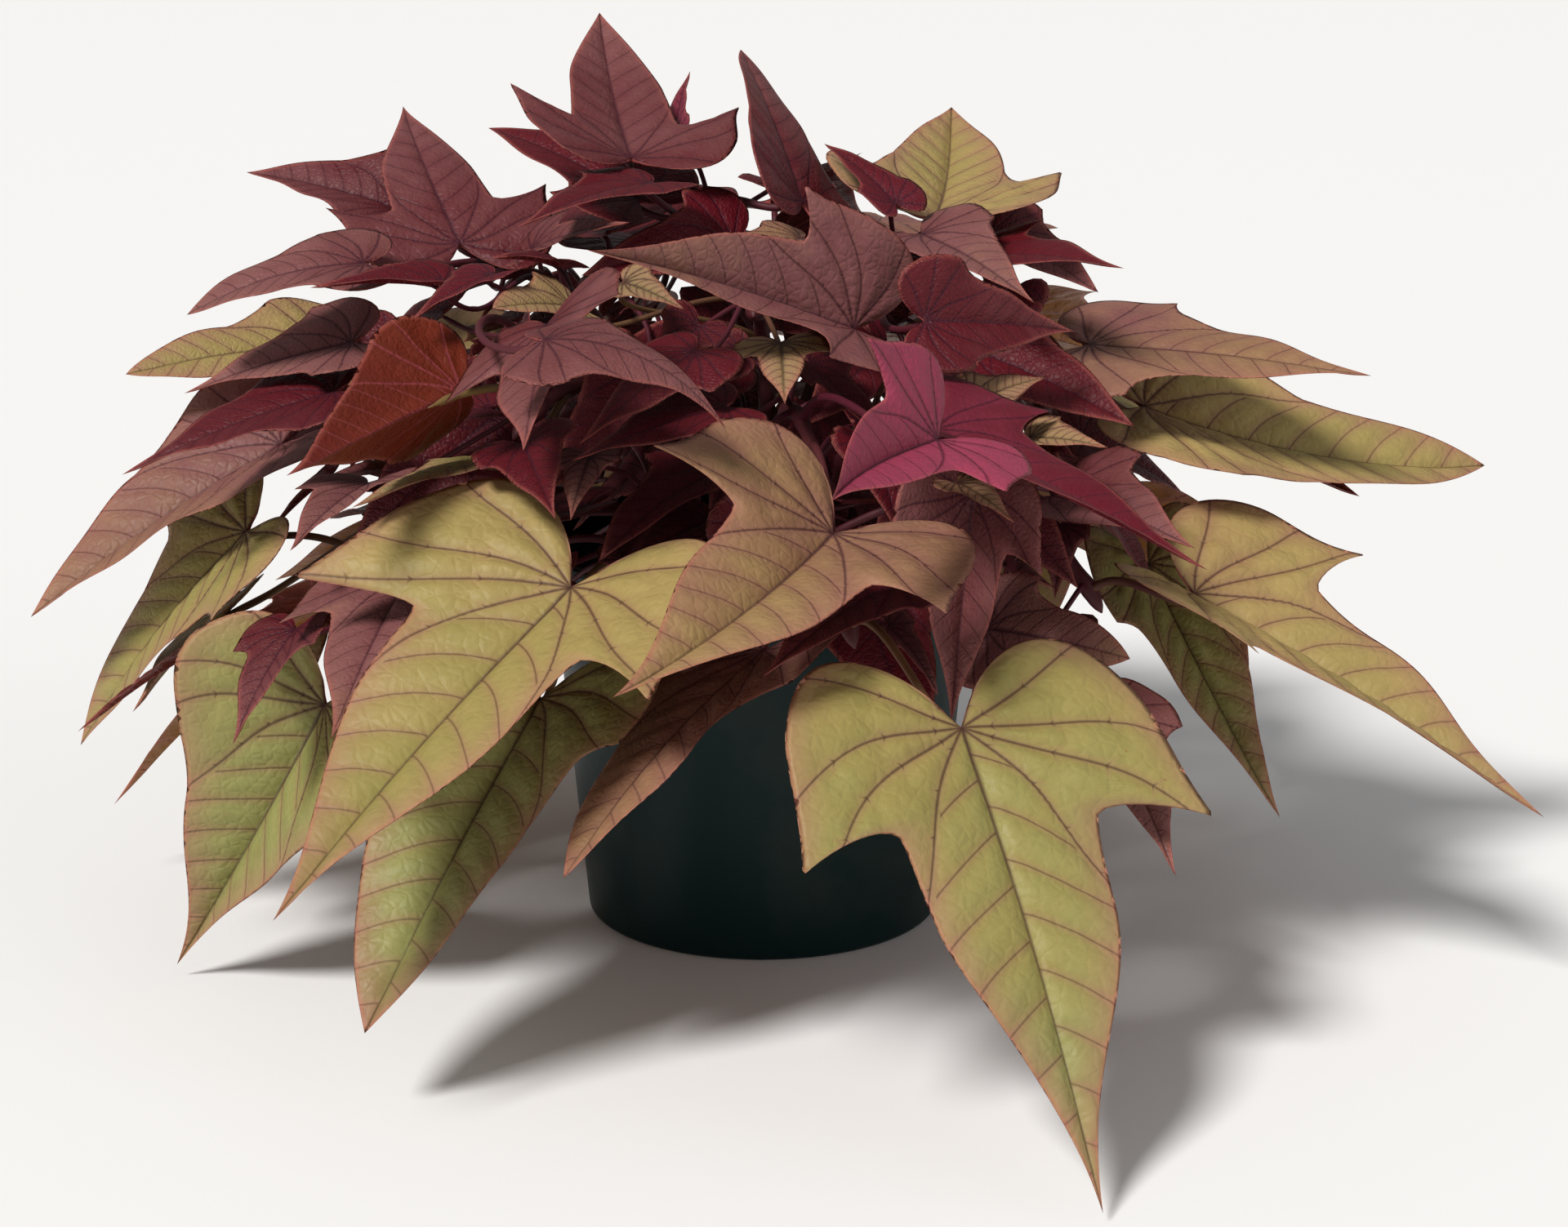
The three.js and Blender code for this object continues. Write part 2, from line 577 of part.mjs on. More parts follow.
// Finds a clear place for a leaf and its stalk among all that is placed, and adds them to the crowd.
function settle(row, stem, seat, owner, crowd) {
  for (const move of MOVES) {
    const blade = new Blade(row, move);
    const surface = blade.samples(SAMPLE);
    if (surface.some((point) => point.z < LOWEST) || crowd.touches(surface, 0)) continue;
    const young = blade.length <= MEDIUM;
    const radius = young ? YOUNG_STALK_RADIUS : STALK_RADIUS;
    const steps = young ? YOUNG_STALK_STEPS : STALK_STEPS;
    const near = Math.max(JOINT_SHARE * blade.length, JOINT_ROOM);
    for (const way of WAYS) {
      const curve = stalkCurve(stem, seat, blade, radius, way);
      if (turnsSharply(curve, steps)) continue;
      const spine = curve.getPoints(Math.ceil(curve.getLength() / SAMPLE));
      const root = spine[0];
      const free = (other, point) => other.owner === owner && point.distanceTo(root) < ROOT_ROOM;
      const ownBlade = spine.some((point) => point.distanceTo(blade.at) > near
        && surface.some((other) => other.distanceTo(point) < CLEARANCE + radius));
      if (ownBlade || crowd.touches(spine, radius - CLEARANCE / 2, free)) continue;
      crowd.add(surface, 0, owner);
      crowd.add(spine, radius, owner);
      return { blade, stalk: tube(curve, radius, STALK_SIDES, steps) };
    }
  }
  throw new Error(`no clear place for a leaf of ${owner}: ${JSON.stringify(row)}`);
}

// The leaves of the far side, dealt to the back stem that lies nearest in bearing.
function addBackLeaves(stems) {
  const draw = drawer(BACK_SEED);
  const between = (low, high) => lerp(low, high, draw());
  const bearing = (name) => Math.atan2(stems[name].path[2][1], stems[name].path[2][0]);
  BACK_TIERS.forEach((tier) => {
    for (let index = 0; index < tier.count; index += 1) {
      const angle = radians(tier.start + index * tier.step + between(-4, 4));
      const radius = tier.radius + between(-8, 8);
      const at = [radius * Math.cos(angle), radius * Math.sin(angle), tier.height + between(-8, 8)];
      const heading = angle + radians(between(-28, 28));
      const pitch = radians(tier.pitch + between(-10, 10));
      const length = tier.length * between(0.88, 1.08);
      const flat = length * Math.cos(pitch);
      const tip = [at[0] + flat * Math.cos(heading), at[1] + flat * Math.sin(heading),
        at[2] - length * Math.sin(pitch)];
      const lobe = tier.lobe * between(0.2, 1.2);
      const row = [at, tip, between(-16, 16), between(12, 30), between(4, 16), 1, Math.min(lobe, 1)];
      const nearest = BACK_STEMS.reduce((best, name) => (
        Math.abs(bearing(name) - angle) < Math.abs(bearing(best) - angle) ? name : best));
      stems[nearest].leaves.push(row);
    }
  });
}

// A stem's curve above the soil.
function stemCurve({ foot, path }) {
  const points = [[...foot, STEM_GROUND], ...path].map((point) => new THREE.Vector3(...point));
  return new THREE.CubicBezierCurve3(...points);
}

// A stem is a straight foot in its hole, then the curve.
function stemSolid(stem) {
  const curve = stemCurve(stem);
  const whole = new THREE.CurvePath();
  whole.add(new THREE.LineCurve3(new THREE.Vector3(...stem.foot, STEM_FOOT), curve.v0));
  whole.add(curve);
  return tube(whole, STEM_RADIUS, STEM_SIDES, STEM_STEPS);
}

const MOVES = movesByCost();
const WAYS = stalkWays();

// Leaves are settled in rounds, one leaf of each stem at a time, outermost first, and those of the front
// before those of the back.
function leafyStems() {
  const stems = structuredClone(LEAFY_STEMS);
  addBackLeaves(stems);
  const names = Object.keys(stems);
  const crowd = new Crowd(6);
  const solids = {};
  names.forEach((name) => {
    const curve = stemCurve(stems[name]);
    crowd.add(curve.getPoints(STEM_SAMPLES), STEM_RADIUS, name);
    solids[name] = [stemSolid(stems[name])];
  });
  const backs = names.filter((name) => BACK_STEMS.includes(name));
  const fronts = names.filter((name) => !BACK_STEMS.includes(name));
  [fronts, backs].forEach((group) => {
    const rounds = Math.max(...group.map((name) => stems[name].leaves.length));
    for (let round = 0; round < rounds; round += 1) {
      group.filter((name) => round < stems[name].leaves.length).forEach((name) => {
        const { leaves } = stems[name];
        const seat = seatOf(round, leaves.length);
        const { blade, stalk } = settle(leaves[round], stemCurve(stems[name]), seat, name, crowd);
        solids[name].push(blade.solid(), stalk);
      });
    }
  });
  return solids;
}

function potSolid() {
  const slope = (POT_TOP_RADIUS - POT_BASE_RADIUS) / (POT_HEIGHT - RIM_DEPTH);
  const wallAt = (height) => POT_BASE_RADIUS + slope * height;
  const floor = FOOT_LIFT + POT_WALL;
  const shell = turned([
    [0, 0], [HUB_RADIUS, 0], [HUB_RADIUS + 1, FOOT_LIFT], [POT_BASE_RADIUS - FOOT_WIDTH, FOOT_LIFT],
    [POT_BASE_RADIUS - FOOT_WIDTH + 1, 0], [POT_BASE_RADIUS - 1, 0], [POT_BASE_RADIUS, 1],
    [wallAt(POT_HEIGHT - RIM_DEPTH), POT_HEIGHT - RIM_DEPTH], [RIM_RADIUS, POT_HEIGHT - RIM_DEPTH + 1],
    [RIM_RADIUS + 0.6, POT_HEIGHT - 1], [RIM_RADIUS, POT_HEIGHT], [RIM_RADIUS - POT_WALL, POT_HEIGHT],
    [RIM_RADIUS - POT_WALL - 0.4, POT_HEIGHT - RIM_DEPTH + 3],
    [wallAt(POT_HEIGHT - RIM_DEPTH) - POT_WALL, POT_HEIGHT - RIM_DEPTH],
    [wallAt(floor) - POT_WALL, floor], [0, floor],
  ], POT_SIDES);
  let pot = shell;
  for (let index = 0; index < DRAIN_COUNT; index += 1) {
    const angle = (2 * Math.PI * index) / DRAIN_COUNT;
    const [x, y] = [DRAIN_RING * Math.cos(angle), DRAIN_RING * Math.sin(angle)];
    pot = pot.subtract(post(DRAIN_RADIUS, -1, floor + 1, x, y, DRAIN_SIDES));
  }
  return pot;
}

// Soil stands on the pot's floor and stops short of the wall, with a plain hole for each stem's foot.
function soilSolid() {
  const slope = (POT_TOP_RADIUS - POT_BASE_RADIUS) / (POT_HEIGHT - RIM_DEPTH);
  const innerAt = (height) => POT_BASE_RADIUS + slope * height - POT_WALL - GAP;
  const floor = FOOT_LIFT + POT_WALL + GAP;
  let soil = turned([
    [0, floor], [innerAt(floor), floor], [innerAt(SOIL_EDGE), SOIL_EDGE],
    [0.7 * innerAt(SOIL_EDGE), lerp(SOIL_EDGE, SOIL_CROWN, 0.75)], [0, SOIL_CROWN],
  ], POT_SIDES);
  Object.values(LEAFY_STEMS).forEach(({ foot }) => {
    soil = soil.subtract(post(HOLE_RADIUS, STEM_FOOT - GAP, POT_HEIGHT, ...foot, HOLE_SIDES));
  });
  return soil;
}

function part(name, solid, colour, roughness) {
  const material = new THREE.MeshStandardMaterial({ color: colour, roughness, metalness: 0 });
  const mesh = new THREE.Mesh(geometryOf(solid), material);
  mesh.name = name;
  return mesh;
}

const plant = new THREE.Group();
plant.add(part('pot', potSolid(), POT_COLOUR, POT_ROUGHNESS));
plant.add(part('soil', soilSolid(), SOIL_COLOUR, SOIL_ROUGHNESS));
Object.entries(leafyStems()).forEach(([name, solids]) => {
  const joined = solids.reduce((whole, next) => whole.add(next));
  plant.add(part(`leafy_stem_${name}`, joined, STEM_COLOURS[name], LEAF_ROUGHNESS));
});

export default plant;
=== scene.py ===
"""Looks of a sweet potato vine in a nursery pot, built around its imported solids."""

from itertools import product

import bmesh
import bpy
import numpy as np
from bpy.props import FloatProperty, FloatVectorProperty, IntProperty, PointerProperty
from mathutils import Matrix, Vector


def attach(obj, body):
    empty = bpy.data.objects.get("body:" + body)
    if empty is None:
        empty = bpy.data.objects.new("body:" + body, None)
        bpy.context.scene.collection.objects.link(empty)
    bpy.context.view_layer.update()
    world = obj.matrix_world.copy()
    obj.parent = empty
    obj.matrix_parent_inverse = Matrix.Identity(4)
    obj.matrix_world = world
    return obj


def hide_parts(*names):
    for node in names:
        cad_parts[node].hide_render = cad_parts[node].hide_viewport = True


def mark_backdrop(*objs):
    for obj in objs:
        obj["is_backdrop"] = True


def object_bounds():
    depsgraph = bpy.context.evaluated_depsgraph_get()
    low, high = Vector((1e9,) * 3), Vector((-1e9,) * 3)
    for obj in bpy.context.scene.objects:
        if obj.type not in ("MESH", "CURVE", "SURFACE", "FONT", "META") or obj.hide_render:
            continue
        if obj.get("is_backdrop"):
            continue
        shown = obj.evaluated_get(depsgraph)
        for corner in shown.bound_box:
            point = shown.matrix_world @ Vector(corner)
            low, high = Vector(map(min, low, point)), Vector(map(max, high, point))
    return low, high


bl_info = {
    "name": "Potted sweet potato vine",
    "version": (1, 0, 0),
    "blender": (4, 5, 0),
    "location": "3D View > Sidebar > Vine",
    "description": "Leaves, stems, pot and soil of a sweet potato vine, around its solids",
    "category": "Add Mesh",
}

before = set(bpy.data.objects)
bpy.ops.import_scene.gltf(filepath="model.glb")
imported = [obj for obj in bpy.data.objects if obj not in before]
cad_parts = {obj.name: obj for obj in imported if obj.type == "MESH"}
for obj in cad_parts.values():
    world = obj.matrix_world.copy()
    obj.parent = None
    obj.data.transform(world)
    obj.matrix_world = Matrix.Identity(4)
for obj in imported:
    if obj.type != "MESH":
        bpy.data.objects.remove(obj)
SOLID_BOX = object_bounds()
MM = 0.001
TAU = 2 * np.pi

# Camera, in millimetres and degrees: its place, how far it looks down, and its lens as a share of the
# frame's width.
CAMERA = (6, -1063, 384)
CAMERA_DEPRESSION = 15.7
FOCAL_SHARE = 2.5104
SENSOR_WIDTH = 36

# Stage, in metres: where the camera's view starts, what the suns look at, and each sun's place, width in
# degrees and colour.
CLIP_START = 0.05
LIGHT_TARGET = (0, 0, 0.12)
KEY_SUN = ((-0.6, -0.8, 1.25), 14, (1.0, 0.98, 0.95))
FILL_SUN = ((1.2, -0.9, 0.8), 50, (0.95, 0.97, 1.0))

# Pot and soil, in millimetres, as the solids have them.
POT_HEIGHT = 108
POT_BASE_RADIUS = 49.5
POT_TOP_RADIUS = 58.5
RIM_RADIUS = 62
RIM_DEPTH = 13
POT_WALL = 1.6
SLOPE = (POT_TOP_RADIUS - POT_BASE_RADIUS) / (POT_HEIGHT - RIM_DEPTH)
FOOT_WIDTH = 5
FOOT_LIFT = 2.5
HUB_RADIUS = 14
DRAIN_RADIUS = 4
DRAIN_RING = 28
DRAIN_COUNT = 6
SOIL_EDGE = 95
SOIL_CROWN = 99
GAP = 0.3
INNER_RADIUS = 56.6

# Finer skins of the pot and the soil, in millimetres: the rim's flare and lip, the bevels of the profile, how
# corners are rounded, the numbers of sides and rings, the heights and sizes of the soil's crumbs and how they
# fade towards the wall, and the loose lumps' half sizes, flatness, dents, spread as a share of the soil's
# radius, and height above the mound.
RIM_FLARE = 0.6
LIP = 1.1
LIP_HEIGHT = 2.2
LIP_BEVEL = 0.4
RIM_DRAFT = 0.4
FOOT_BEVEL = 1
INNER_LEDGE = 3
POT_ROUNDING, ROUNDED_SHARE = 0.5, 0.45
ROUNDING_STEPS = 4
POT_SIDES = 144
DRAIN_SIDES, DRAIN_FROM, DRAIN_PAST = 32, -2.0, 6.0
SOIL_SIDES = 180
SOIL_RINGS = 56
CRUMBS = ((1.1, 14), (0.9, 5), (0.6, 2.1))
CRUMB_FADE, CRUMBS_AT_WALL = 6, 0.25
NOISE_CELLS = 128
LUMP_RINGS = 6
LUMP_SIDES = 8
LUMP_SIZES = (0.5, 1.7)
LUMP_FLATNESS = (1.0, 1.0, 0.6)
LUMP_DENTS, DENT_WAVES, DENT_SHARES = 0.16, 3, (1, 3)
LUMP_SPREAD = 0.93
LUMP_LIFTS = (0.2, 1.0)

# Each leafy stem, in millimetres: its foot in the soil, two control points and an end, and its leaves from
# the end inwards as stalk joint, tip, roll, droop, fold, width, lobe, tone and, where they aren't 0, sweep
# (how far the midrib bows sideways) and full (0 slender to 1 full). The tone is the place on the scale of
# leaf colours, from magenta (-1) through crimson (0), plum (1), mauve (2), bronze (3), gold (4) and
# green-gold (5) to grey-green (6), with rust (8) for leaves that have turned.
LEAFY_STEMS = {
    "front_low": {
        "slot": "foliage_green_gold",
        "foot": (7, -30),
        "path": [(9, -34, 132), (14, -74, 140), (24, -100, 104)],
        "leaves": [
            ((49, -152, 99), (80, -222, 3), -5, 15, 5, 1.1, 0.9, 5.2, 0, -0.1),
            ((54, -92, 143), (49, -95, 82), 40, 10, 40, 1.05, 0.9, 1.7),
            ((1, -95, 102), (-48, -150, 60), 20, 20, 5, 1.05, 0.2, 2.4, 0, 0.8),
            ((34, -82, 112), (2, -122, 100), 20, 20, 5, 1, 0.5, 1.1),
            ((-13, -70, 130), (-35, -101, 125), 0, 20, 10, 1, 0.4, 1),
        ],
    },
    "front_left_low": {
        "slot": "foliage_green_gold",
        "foot": (-9, -31),
        "path": [(-12, -36, 132), (-34, -68, 138), (-46, -84, 100)],
        "leaves": [
            ((-47, -118, 125), (-113, -200, 67), 0, -5, 15, 1.15, 1, 4.6, 0.03),
            ((-57, -88, 87), (-97, -160, 23), 0, 20, 20, 1.15, 0.3, 5.8, -0.02, 0.8),
            ((-91, -85, 119), (-104, -151, 96), 0, 10, 5, 1.05, 0.8, 2),
            ((-43, -95, 153), (-47, -117, 142), 0, 20, 10, 1, 0.5, 2),
        ],
    },
    "front_mid": {
        "slot": "foliage_gold_bronze",
        "foot": (0, -20),
        "path": [(2, -24, 150), (8, -56, 168), (14, -88, 150)],
        "leaves": [
            ((18, -126, 141), (-33, -205, 123), -5, 0, 20, 1.15, 1, 3.1, -0.03),
            ((43, -136, 167), (17, -200, 168), -25, -15, 30, 1, 0.9, -1, 0.04),
            ((-9, -95, 166), (-47, -112, 156), 10, 15, 0, 1.05, 0.2, 0.9),
        ],
    },
    "front_right_mid": {
        "slot": "foliage_magenta",
        "foot": (17, -21),
        "path": [(20, -26, 148), (34, -60, 170), (50, -84, 150)],
        "leaves": [
            ((44, -108, 163), (110, -131, 133), -20, 5, 15, 1, 0.8, -0.3),
            ((67, -108, 161), (86, -123, 162), 10, 20, 10, 1, 0.3, 4.8),
            ((54, -102, 169), (73, -90, 177), 0, 20, 10, 1, 0.2, 3.8),
            ((49, -118, 152), (62, -134, 146), 0, 20, 10, 1, 0.4, 3.7),
        ],
    },
    "left_mid": {
        "slot": "foliage_plum",
        "foot": (-15, -15),
        "path": [(-22, -20, 152), (-46, -44, 178), (-64, -72, 152)],
        "leaves": [
            ((-76, -95, 170), (-113, -148, 161), 90, 10, 40, 1, 0.1, 8),
            ((-53, -100, 188), (-56, -152, 168), 25, 5, 5, 1.2, 1, 1.7),
            ((-53, -108, 186), (-8, -116, 171), -15, 70, -10, 1, 0.1, 1.7),
            ((-65, -75, 148), (-100, -115, 139), 10, 20, 0, 1, 0.2, 5.3),
            ((-102, -70, 140), (-118, -109, 132), -5, 20, 10, 1, 0.6, 1.9),
            ((-60, -90, 155), (-49, -121, 139), 0, 20, 10, 1, 0.3, 0.5),
        ],
    },
    "far_left": {
        "slot": "foliage_plum",
        "foot": (-20, 0),
        "path": [(-28, -2, 150), (-66, -12, 176), (-100, -22, 142)],
        "leaves": [
            ((-131, -18, 138), (-197, -42, 96), -20, 15, 20, 1, 0, 2.3, 0, 0.6),
            ((-112, -55, 161), (-166, -69, 142), -5, 15, 5, 1.05, 0.1, 0.9),
            ((-109, -35, 170), (-154, -34, 156), -15, 15, 10, 1, 0.3, 1.9),
            ((-121, 8, 160), (-173, -15, 157), -40, 20, 5, 0.95, 0.1, 4.4, 0, 1),
            ((-78, -35, 157), (-116, -52, 123), -35, 20, 10, 1.1, 0.4, 1, 0, 0.4),
            ((-103, -10, 162), (-143, -22, 130), -35, 20, 10, 1.1, 0.4, 1.2, 0, 0.4),
        ],
    },
    "left_low": {
        "slot": "foliage_green_gold",
        "foot": (-31, -12),
        "path": [(-38, -16, 132), (-68, -32, 136), (-102, -46, 98)],
        "leaves": [
            ((-139, -35, 118), (-187, -34, 57), -20, 20, 10, 1, 0.4, 5, 0, 0.7),
            ((-115, -70, 80), (-158, -66, 5), -45, 10, 35, 1.25, 0, 5.8, -0.02),
            ((-118, -62, 110), (-179, -95, 83), 10, 30, 5, 1.05, 0.5, 8, 0.03),
            ((-131, -55, 96), (-147, -80, 52), -5, 20, 10, 1, 0.5, 5.1),
            ((-140, -40, 92), (-165, -75, 77), 0, 20, 10, 1, 0.3, 5.6),
            ((-123, -65, 99), (-136, -94, 77), 0, 20, 10, 1, 0.5, 1.3),
        ],
    },
    "right_mid": {
        "slot": "foliage_plum",
        "foot": (28, -13),
        "path": [(33, -16, 140), (52, -36, 150), (68, -52, 128)],
        "leaves": [
            ((76, -60, 134), (109, -110, 133), 25, 20, 10, 1.05, 0.3, 1.6),
            ((40, -60, 145), (21, -80, 115), -15, 20, 10, 1.1, 0.3, 0.8, 0, 0.4),
            ((57, -46, 135), (84, -62, 109), 30, 20, 10, 1.1, 0.4, 0.9, 0, 0.4),
        ],
    },
    "right_low": {
        "slot": "foliage_gold_bronze",
        "foot": (33, 1),
        "path": [(40, -4, 132), (72, -24, 134), (92, -38, 96)],
        "leaves": [
            ((115, -55, 106), (203, -95, 57), 5, 5, 20, 1, 0.8, 4.1, -0.02),
            ((106, -20, 105), (139, -65, 46), 30, 15, 20, 0.8, 0.3, 5.7, 0.03, 0.2),
            ((58, -88, 106), (94, -106, 103), 30, 20, 0, 1.2, 0.3, 2.2, 0, 1),
            ((84, -110, 91), (102, -152, 61), 0, 20, 10, 1, 0.3, 1.9),
        ],
    },
    "far_right": {
        "slot": "foliage_gold_bronze",
        "foot": (21, 5),
        "path": [(28, 4, 150), (58, -2, 174), (86, -10, 148)],
        "leaves": [
            ((89, -14, 165), (162, -40, 162), 20, 10, 0, 1, 0.3, 2.6, 0, 0.2),
            ((105, -6, 146), (202, 8, 126), 20, 5, 15, 0.95, 0.1, 4.2, 0.1, 1),
            ((124, 4, 132), (165, -8, 121), 20, 20, 20, 0.8, 0.2, 8, 0, 0.6),
            ((57, -20, 165), (99, -38, 148), 40, 20, 10, 1.1, 0.4, 0.6, 0, 0.4),
        ],
    },
    "crown_front": {
        "slot": "foliage_gold_bronze",
        "foot": (2, -6),
        "path": [(2, -9, 150), (0, -22, 184), (-2, -50, 180)],
        "leaves": [
            ((24, -66, 180), (-42, -112, 209), -25, -15, 35, 0.9, 0.8, 2, 0.05),
            ((5, -82, 183), (6, -105, 172), 5, 15, 0, 1.3, 1, 4.9),
            ((-17, -80, 177), (-45, -106, 159), 5, 15, -5, 1, 0.4, 0.7),
            ((-48, -72, 187), (-67, -94, 191), -20, 20, 10, 1.2, 0.2, 4.8, 0, 1),
            ((-35, -70, 193), (-19, -81, 188), 0, 20, 10, 1, 0.2, 5.6),
            ((37, -52, 168), (11, -72, 147), -25, 20, 10, 1.1, 0.3, 0.5, 0, 0.4),
            ((-9, -38, 172), (-42, -60, 171), -35, 20, 10, 1.1, 0.5, 0.8, 0, 0.4),
        ],
    },
    "crown_top": {
        "slot": "foliage_plum",
        "foot": (-6, 10),
        "path": [(-8, 12, 150), (-12, 8, 184), (-14, 2, 204)],
        "leaves": [
            ((-35, -14, 216), (-46, 50, 247), 35, -20, 15, 1.1, 1, 1.5, 0, 0.5),
            ((11, -13, 204), (-6, 32, 239), 15, 15, 5, 1.05, 0, 1.3, -0.03, 0.9),
            ((-33, -22, 206), (-76, 10, 221), 15, 20, 10, 1.05, 0.6, 0.2, 0, 0.6),
            ((-30, -25, 215), (-63, -58, 209), -5, 20, 5, 1, 0.3, 0.7),
            ((11, -25, 200), (-13, -43, 200), 15, 20, 5, 1, 0.2, 3.2),
            ((-27, 10, 219), (-23, 24, 236), 0, 20, 10, 1, 0.2, -0.5),
            ((-10, -18, 197), (-50, -38, 192), -10, 20, 15, 1.05, 0.4, 0.2, 0, 0.5),
        ],
    },
    "crown_right": {
        "slot": "foliage_plum",
        "foot": (11, 12),
        "path": [(16, 12, 150), (28, 6, 176), (38, -6, 188)],
        "leaves": [
            ((47, 2, 197), (55, 86, 215), -20, -20, 20, 1.05, 0.5, 4, 0.02, 0.6),
            ((51, -2, 190), (94, -46, 196), 30, 20, 5, 1, 0.5, 0.2),
            ((43, -18, 196), (71, -57, 185), 25, 20, 10, 1, 0.2, 1.9),
            ((43, -50, 179), (83, -30, 172), 50, 20, 20, 1, 0.2, 1),
            ((35, -12, 200), (16, 8, 213), -15, 20, 10, 0.9, 0.3, 0, 0, 0.4),
            ((63, 8, 192), (92, -8, 178), 35, 20, 10, 1.2, 0.2, 1.3, 0, 0.6),
        ],
    },
    "crown_left": {
        "slot": "foliage_plum",
        "foot": (-20, 15),
        "path": [(-28, 14, 150), (-52, 0, 186), (-74, -14, 186)],
        "leaves": [
            ((-81, -20, 194), (-101, 40, 222), 25, 25, 0, 1.05, 1, 1.4, -0.03),
            ((-102, 24, 196), (-146, 42, 203), -20, 15, 20, 1.05, 0.1, 1.3, 0, 0.3),
            ((-105, -38, 192), (-151, -42, 179), -10, 35, 5, 1, 0.1, 1.8, 0, 1),
            ((-83, -50, 189), (-116, -62, 190), 0, 20, 15, 0.9, 0.2, 0.2),
            ((-61, -35, 195), (-34, -50, 205), 0, 20, 10, 1, 0.9, 1.6),
            ((-70, -55, 192), (-89, -73, 184), 0, 20, 10, 1, 0.3, 0),
            ((-52, -50, 194), (-69, -67, 193), -5, 20, 10, 1, 0.3, 0.3),
            ((-36, -52, 169), (-60, -66, 143), -30, 20, 10, 1.1, 0.3, 0.6, 0, 0.4),
        ],
    },
    "back_right": {"slot": "foliage_green_gold", "foot": (24, 22), "leaves": [],
        "path": [(32, 28, 145), (66, 44, 165), (84, 54, 128)]},
    "back_mid": {"slot": "foliage_green_gold", "foot": (6, 30), "leaves": [],
        "path": [(10, 38, 145), (24, 74, 165), (28, 96, 128)]},
    "back_left": {"slot": "foliage_gold_bronze", "foot": (-12, 27), "leaves": [],
        "path": [(-18, 36, 145), (-40, 66, 165), (-54, 84, 128)]},
    "far_back_left": {"slot": "foliage_plum", "foot": (-30, 16), "leaves": [],
        "path": [(-38, 20, 145), (-70, 28, 162), (-96, 38, 134)]},
}

# The far side of the mound, in tiers: where the leaves join their stalks and how far they pitch down.
BACK_TIERS = [
    {"count": 7, "start": 31, "step": 22, "radius": 112, "height": 96, "length": 112, "pitch": 46,
     "lobe": 0.8, "tone": 5.0},
    {"count": 6, "start": 26, "step": 25, "radius": 96, "height": 144, "length": 96, "pitch": 22,
     "lobe": 0.5, "tone": 3.4},
    {"count": 5, "start": 38, "step": 27, "radius": 58, "height": 188, "length": 72, "pitch": 4,
     "lobe": 0.4, "tone": 1.4},
]
BACK_STEMS = ["back_right", "back_mid", "back_left", "far_back_left"]
BACK_SEED = 4711
MULTIPLIER, MODULUS = 16807, 2147483647

# How far a leaf of the far side may be off its tier: bearing, place, heading, pitch and roll, in degrees or
# millimetres, shares of its length and lobe, its droop and fold, and the swing of its tone.
BEARING_PLAY, PLACE_PLAY, HEADING_PLAY, PITCH_PLAY, ROLL_PLAY = 4, 8, 28, 10, 16
LENGTH_SHARES, LOBE_SHARES = (0.88, 1.08), (0.2, 1.2)
BACK_DROOPS, BACK_FOLDS = (12, 30), (4, 16)
TONE_SWING, TONE_STEP = 1.1, 7.3

# Young leaves inside the mound, which only the pieces have. Each stem tries this often for one, with draws
# between these bounds, in millimetres, radians for turn, rise and pitch, and degrees for other angles: its
# seat on the stem, how far its joint stands off it, its length, how its joint and its tip bear, its shape,
# and the way of its stalk. They stay inside a dome over the soil, and go below its base only outside the
# pot, and lowest in front. ROOM_CELL is the size of the cubes of space that are marked as taken. EDGE_LENGTH
# and HALF_WIDTH are the length and the width of half a blade's outline, as shares of the blade's length.
YOUNG_TRIES = 9000
YOUNG_BOUNDS = {
    "seat": (0.2, 1), "reach": (6, 60), "length": (18, 62), "turn": (-2.4, 2.4), "rise": (-0.5, 1.2),
    "pitch": (0.2, 1.35), "roll": (-25, 25), "droop": (10, 30), "fold": (5, 20), "width": (0.95, 1.2),
    "lobe": (0, 0.7), "full": (0, 0.8), "bow": (0.3, 1.2), "angle": (30, 70), "tone": (0.2, 1.6),
}
YOUNG_ROOT_ROOM = 8
YOUNG_COARSENESS = 1.6
DOME_RADII = (145, 112)
DOME_TOP = 210
DOME_BASE = 104
SIDE_BASE = 86
FRONT_BASE = 64
ROOM_CELL = 2
ROOM_SAMPLES, ROOM_STEM_SAMPLES, CHORD_SAMPLES = 30, 100, 7
ROOM_FINENESS = 1.5
EDGE_LENGTH, HALF_WIDTH = 1.3, 0.45
ROOM_CORNER = np.array((-280.0, -280.0, -20.0))
ROOM_CELLS = (280, 280, 160)

# Stems, stalks and blades as the solids have them, in millimetres or as shares of a length.
STEM_GROUND = 103
STEM_FOOT = 84
STEM_RADIUS = 2.2
STALK_STEPS = 4
YOUNG_STALK_STEPS = 3
STALK_RADIUS = 1.15
YOUNG_STALK_RADIUS = 0.8
STALK_RISE = 0.3
STALK_APPROACH = 0.36
LOWEST_SEAT = 0.3
HIGHEST_SEAT = 0.95
LEAFY_SHARE = 0.55
BLADE = 0.8
NORMAL_LEAN = 0.5
STALK_SAMPLES = 201
STALK_END = 0.05
MEDIUM = 45

# The small changes of place that a leaf may have had to be clear of the others, and the ways of its stalk.
DEPTHS = (0, 4, -4, 8, -8, 12, -12, 16, -16, 22, -22, 28, -28)
LIFTS = (0, 4, -4, 8, -8)
PITCHES = (0, 6, -6, 12, -12)
TURNS = (0, 14, -14)
SLIDES = (0, 6, -6)
STALK_SHIFTS = (0, -0.1, 0.1, -0.2)
STALK_BOWS = (0.9, 0.3, 1.6)
STALK_ANGLES = (50, 80, 20)
MATCH = 0.03

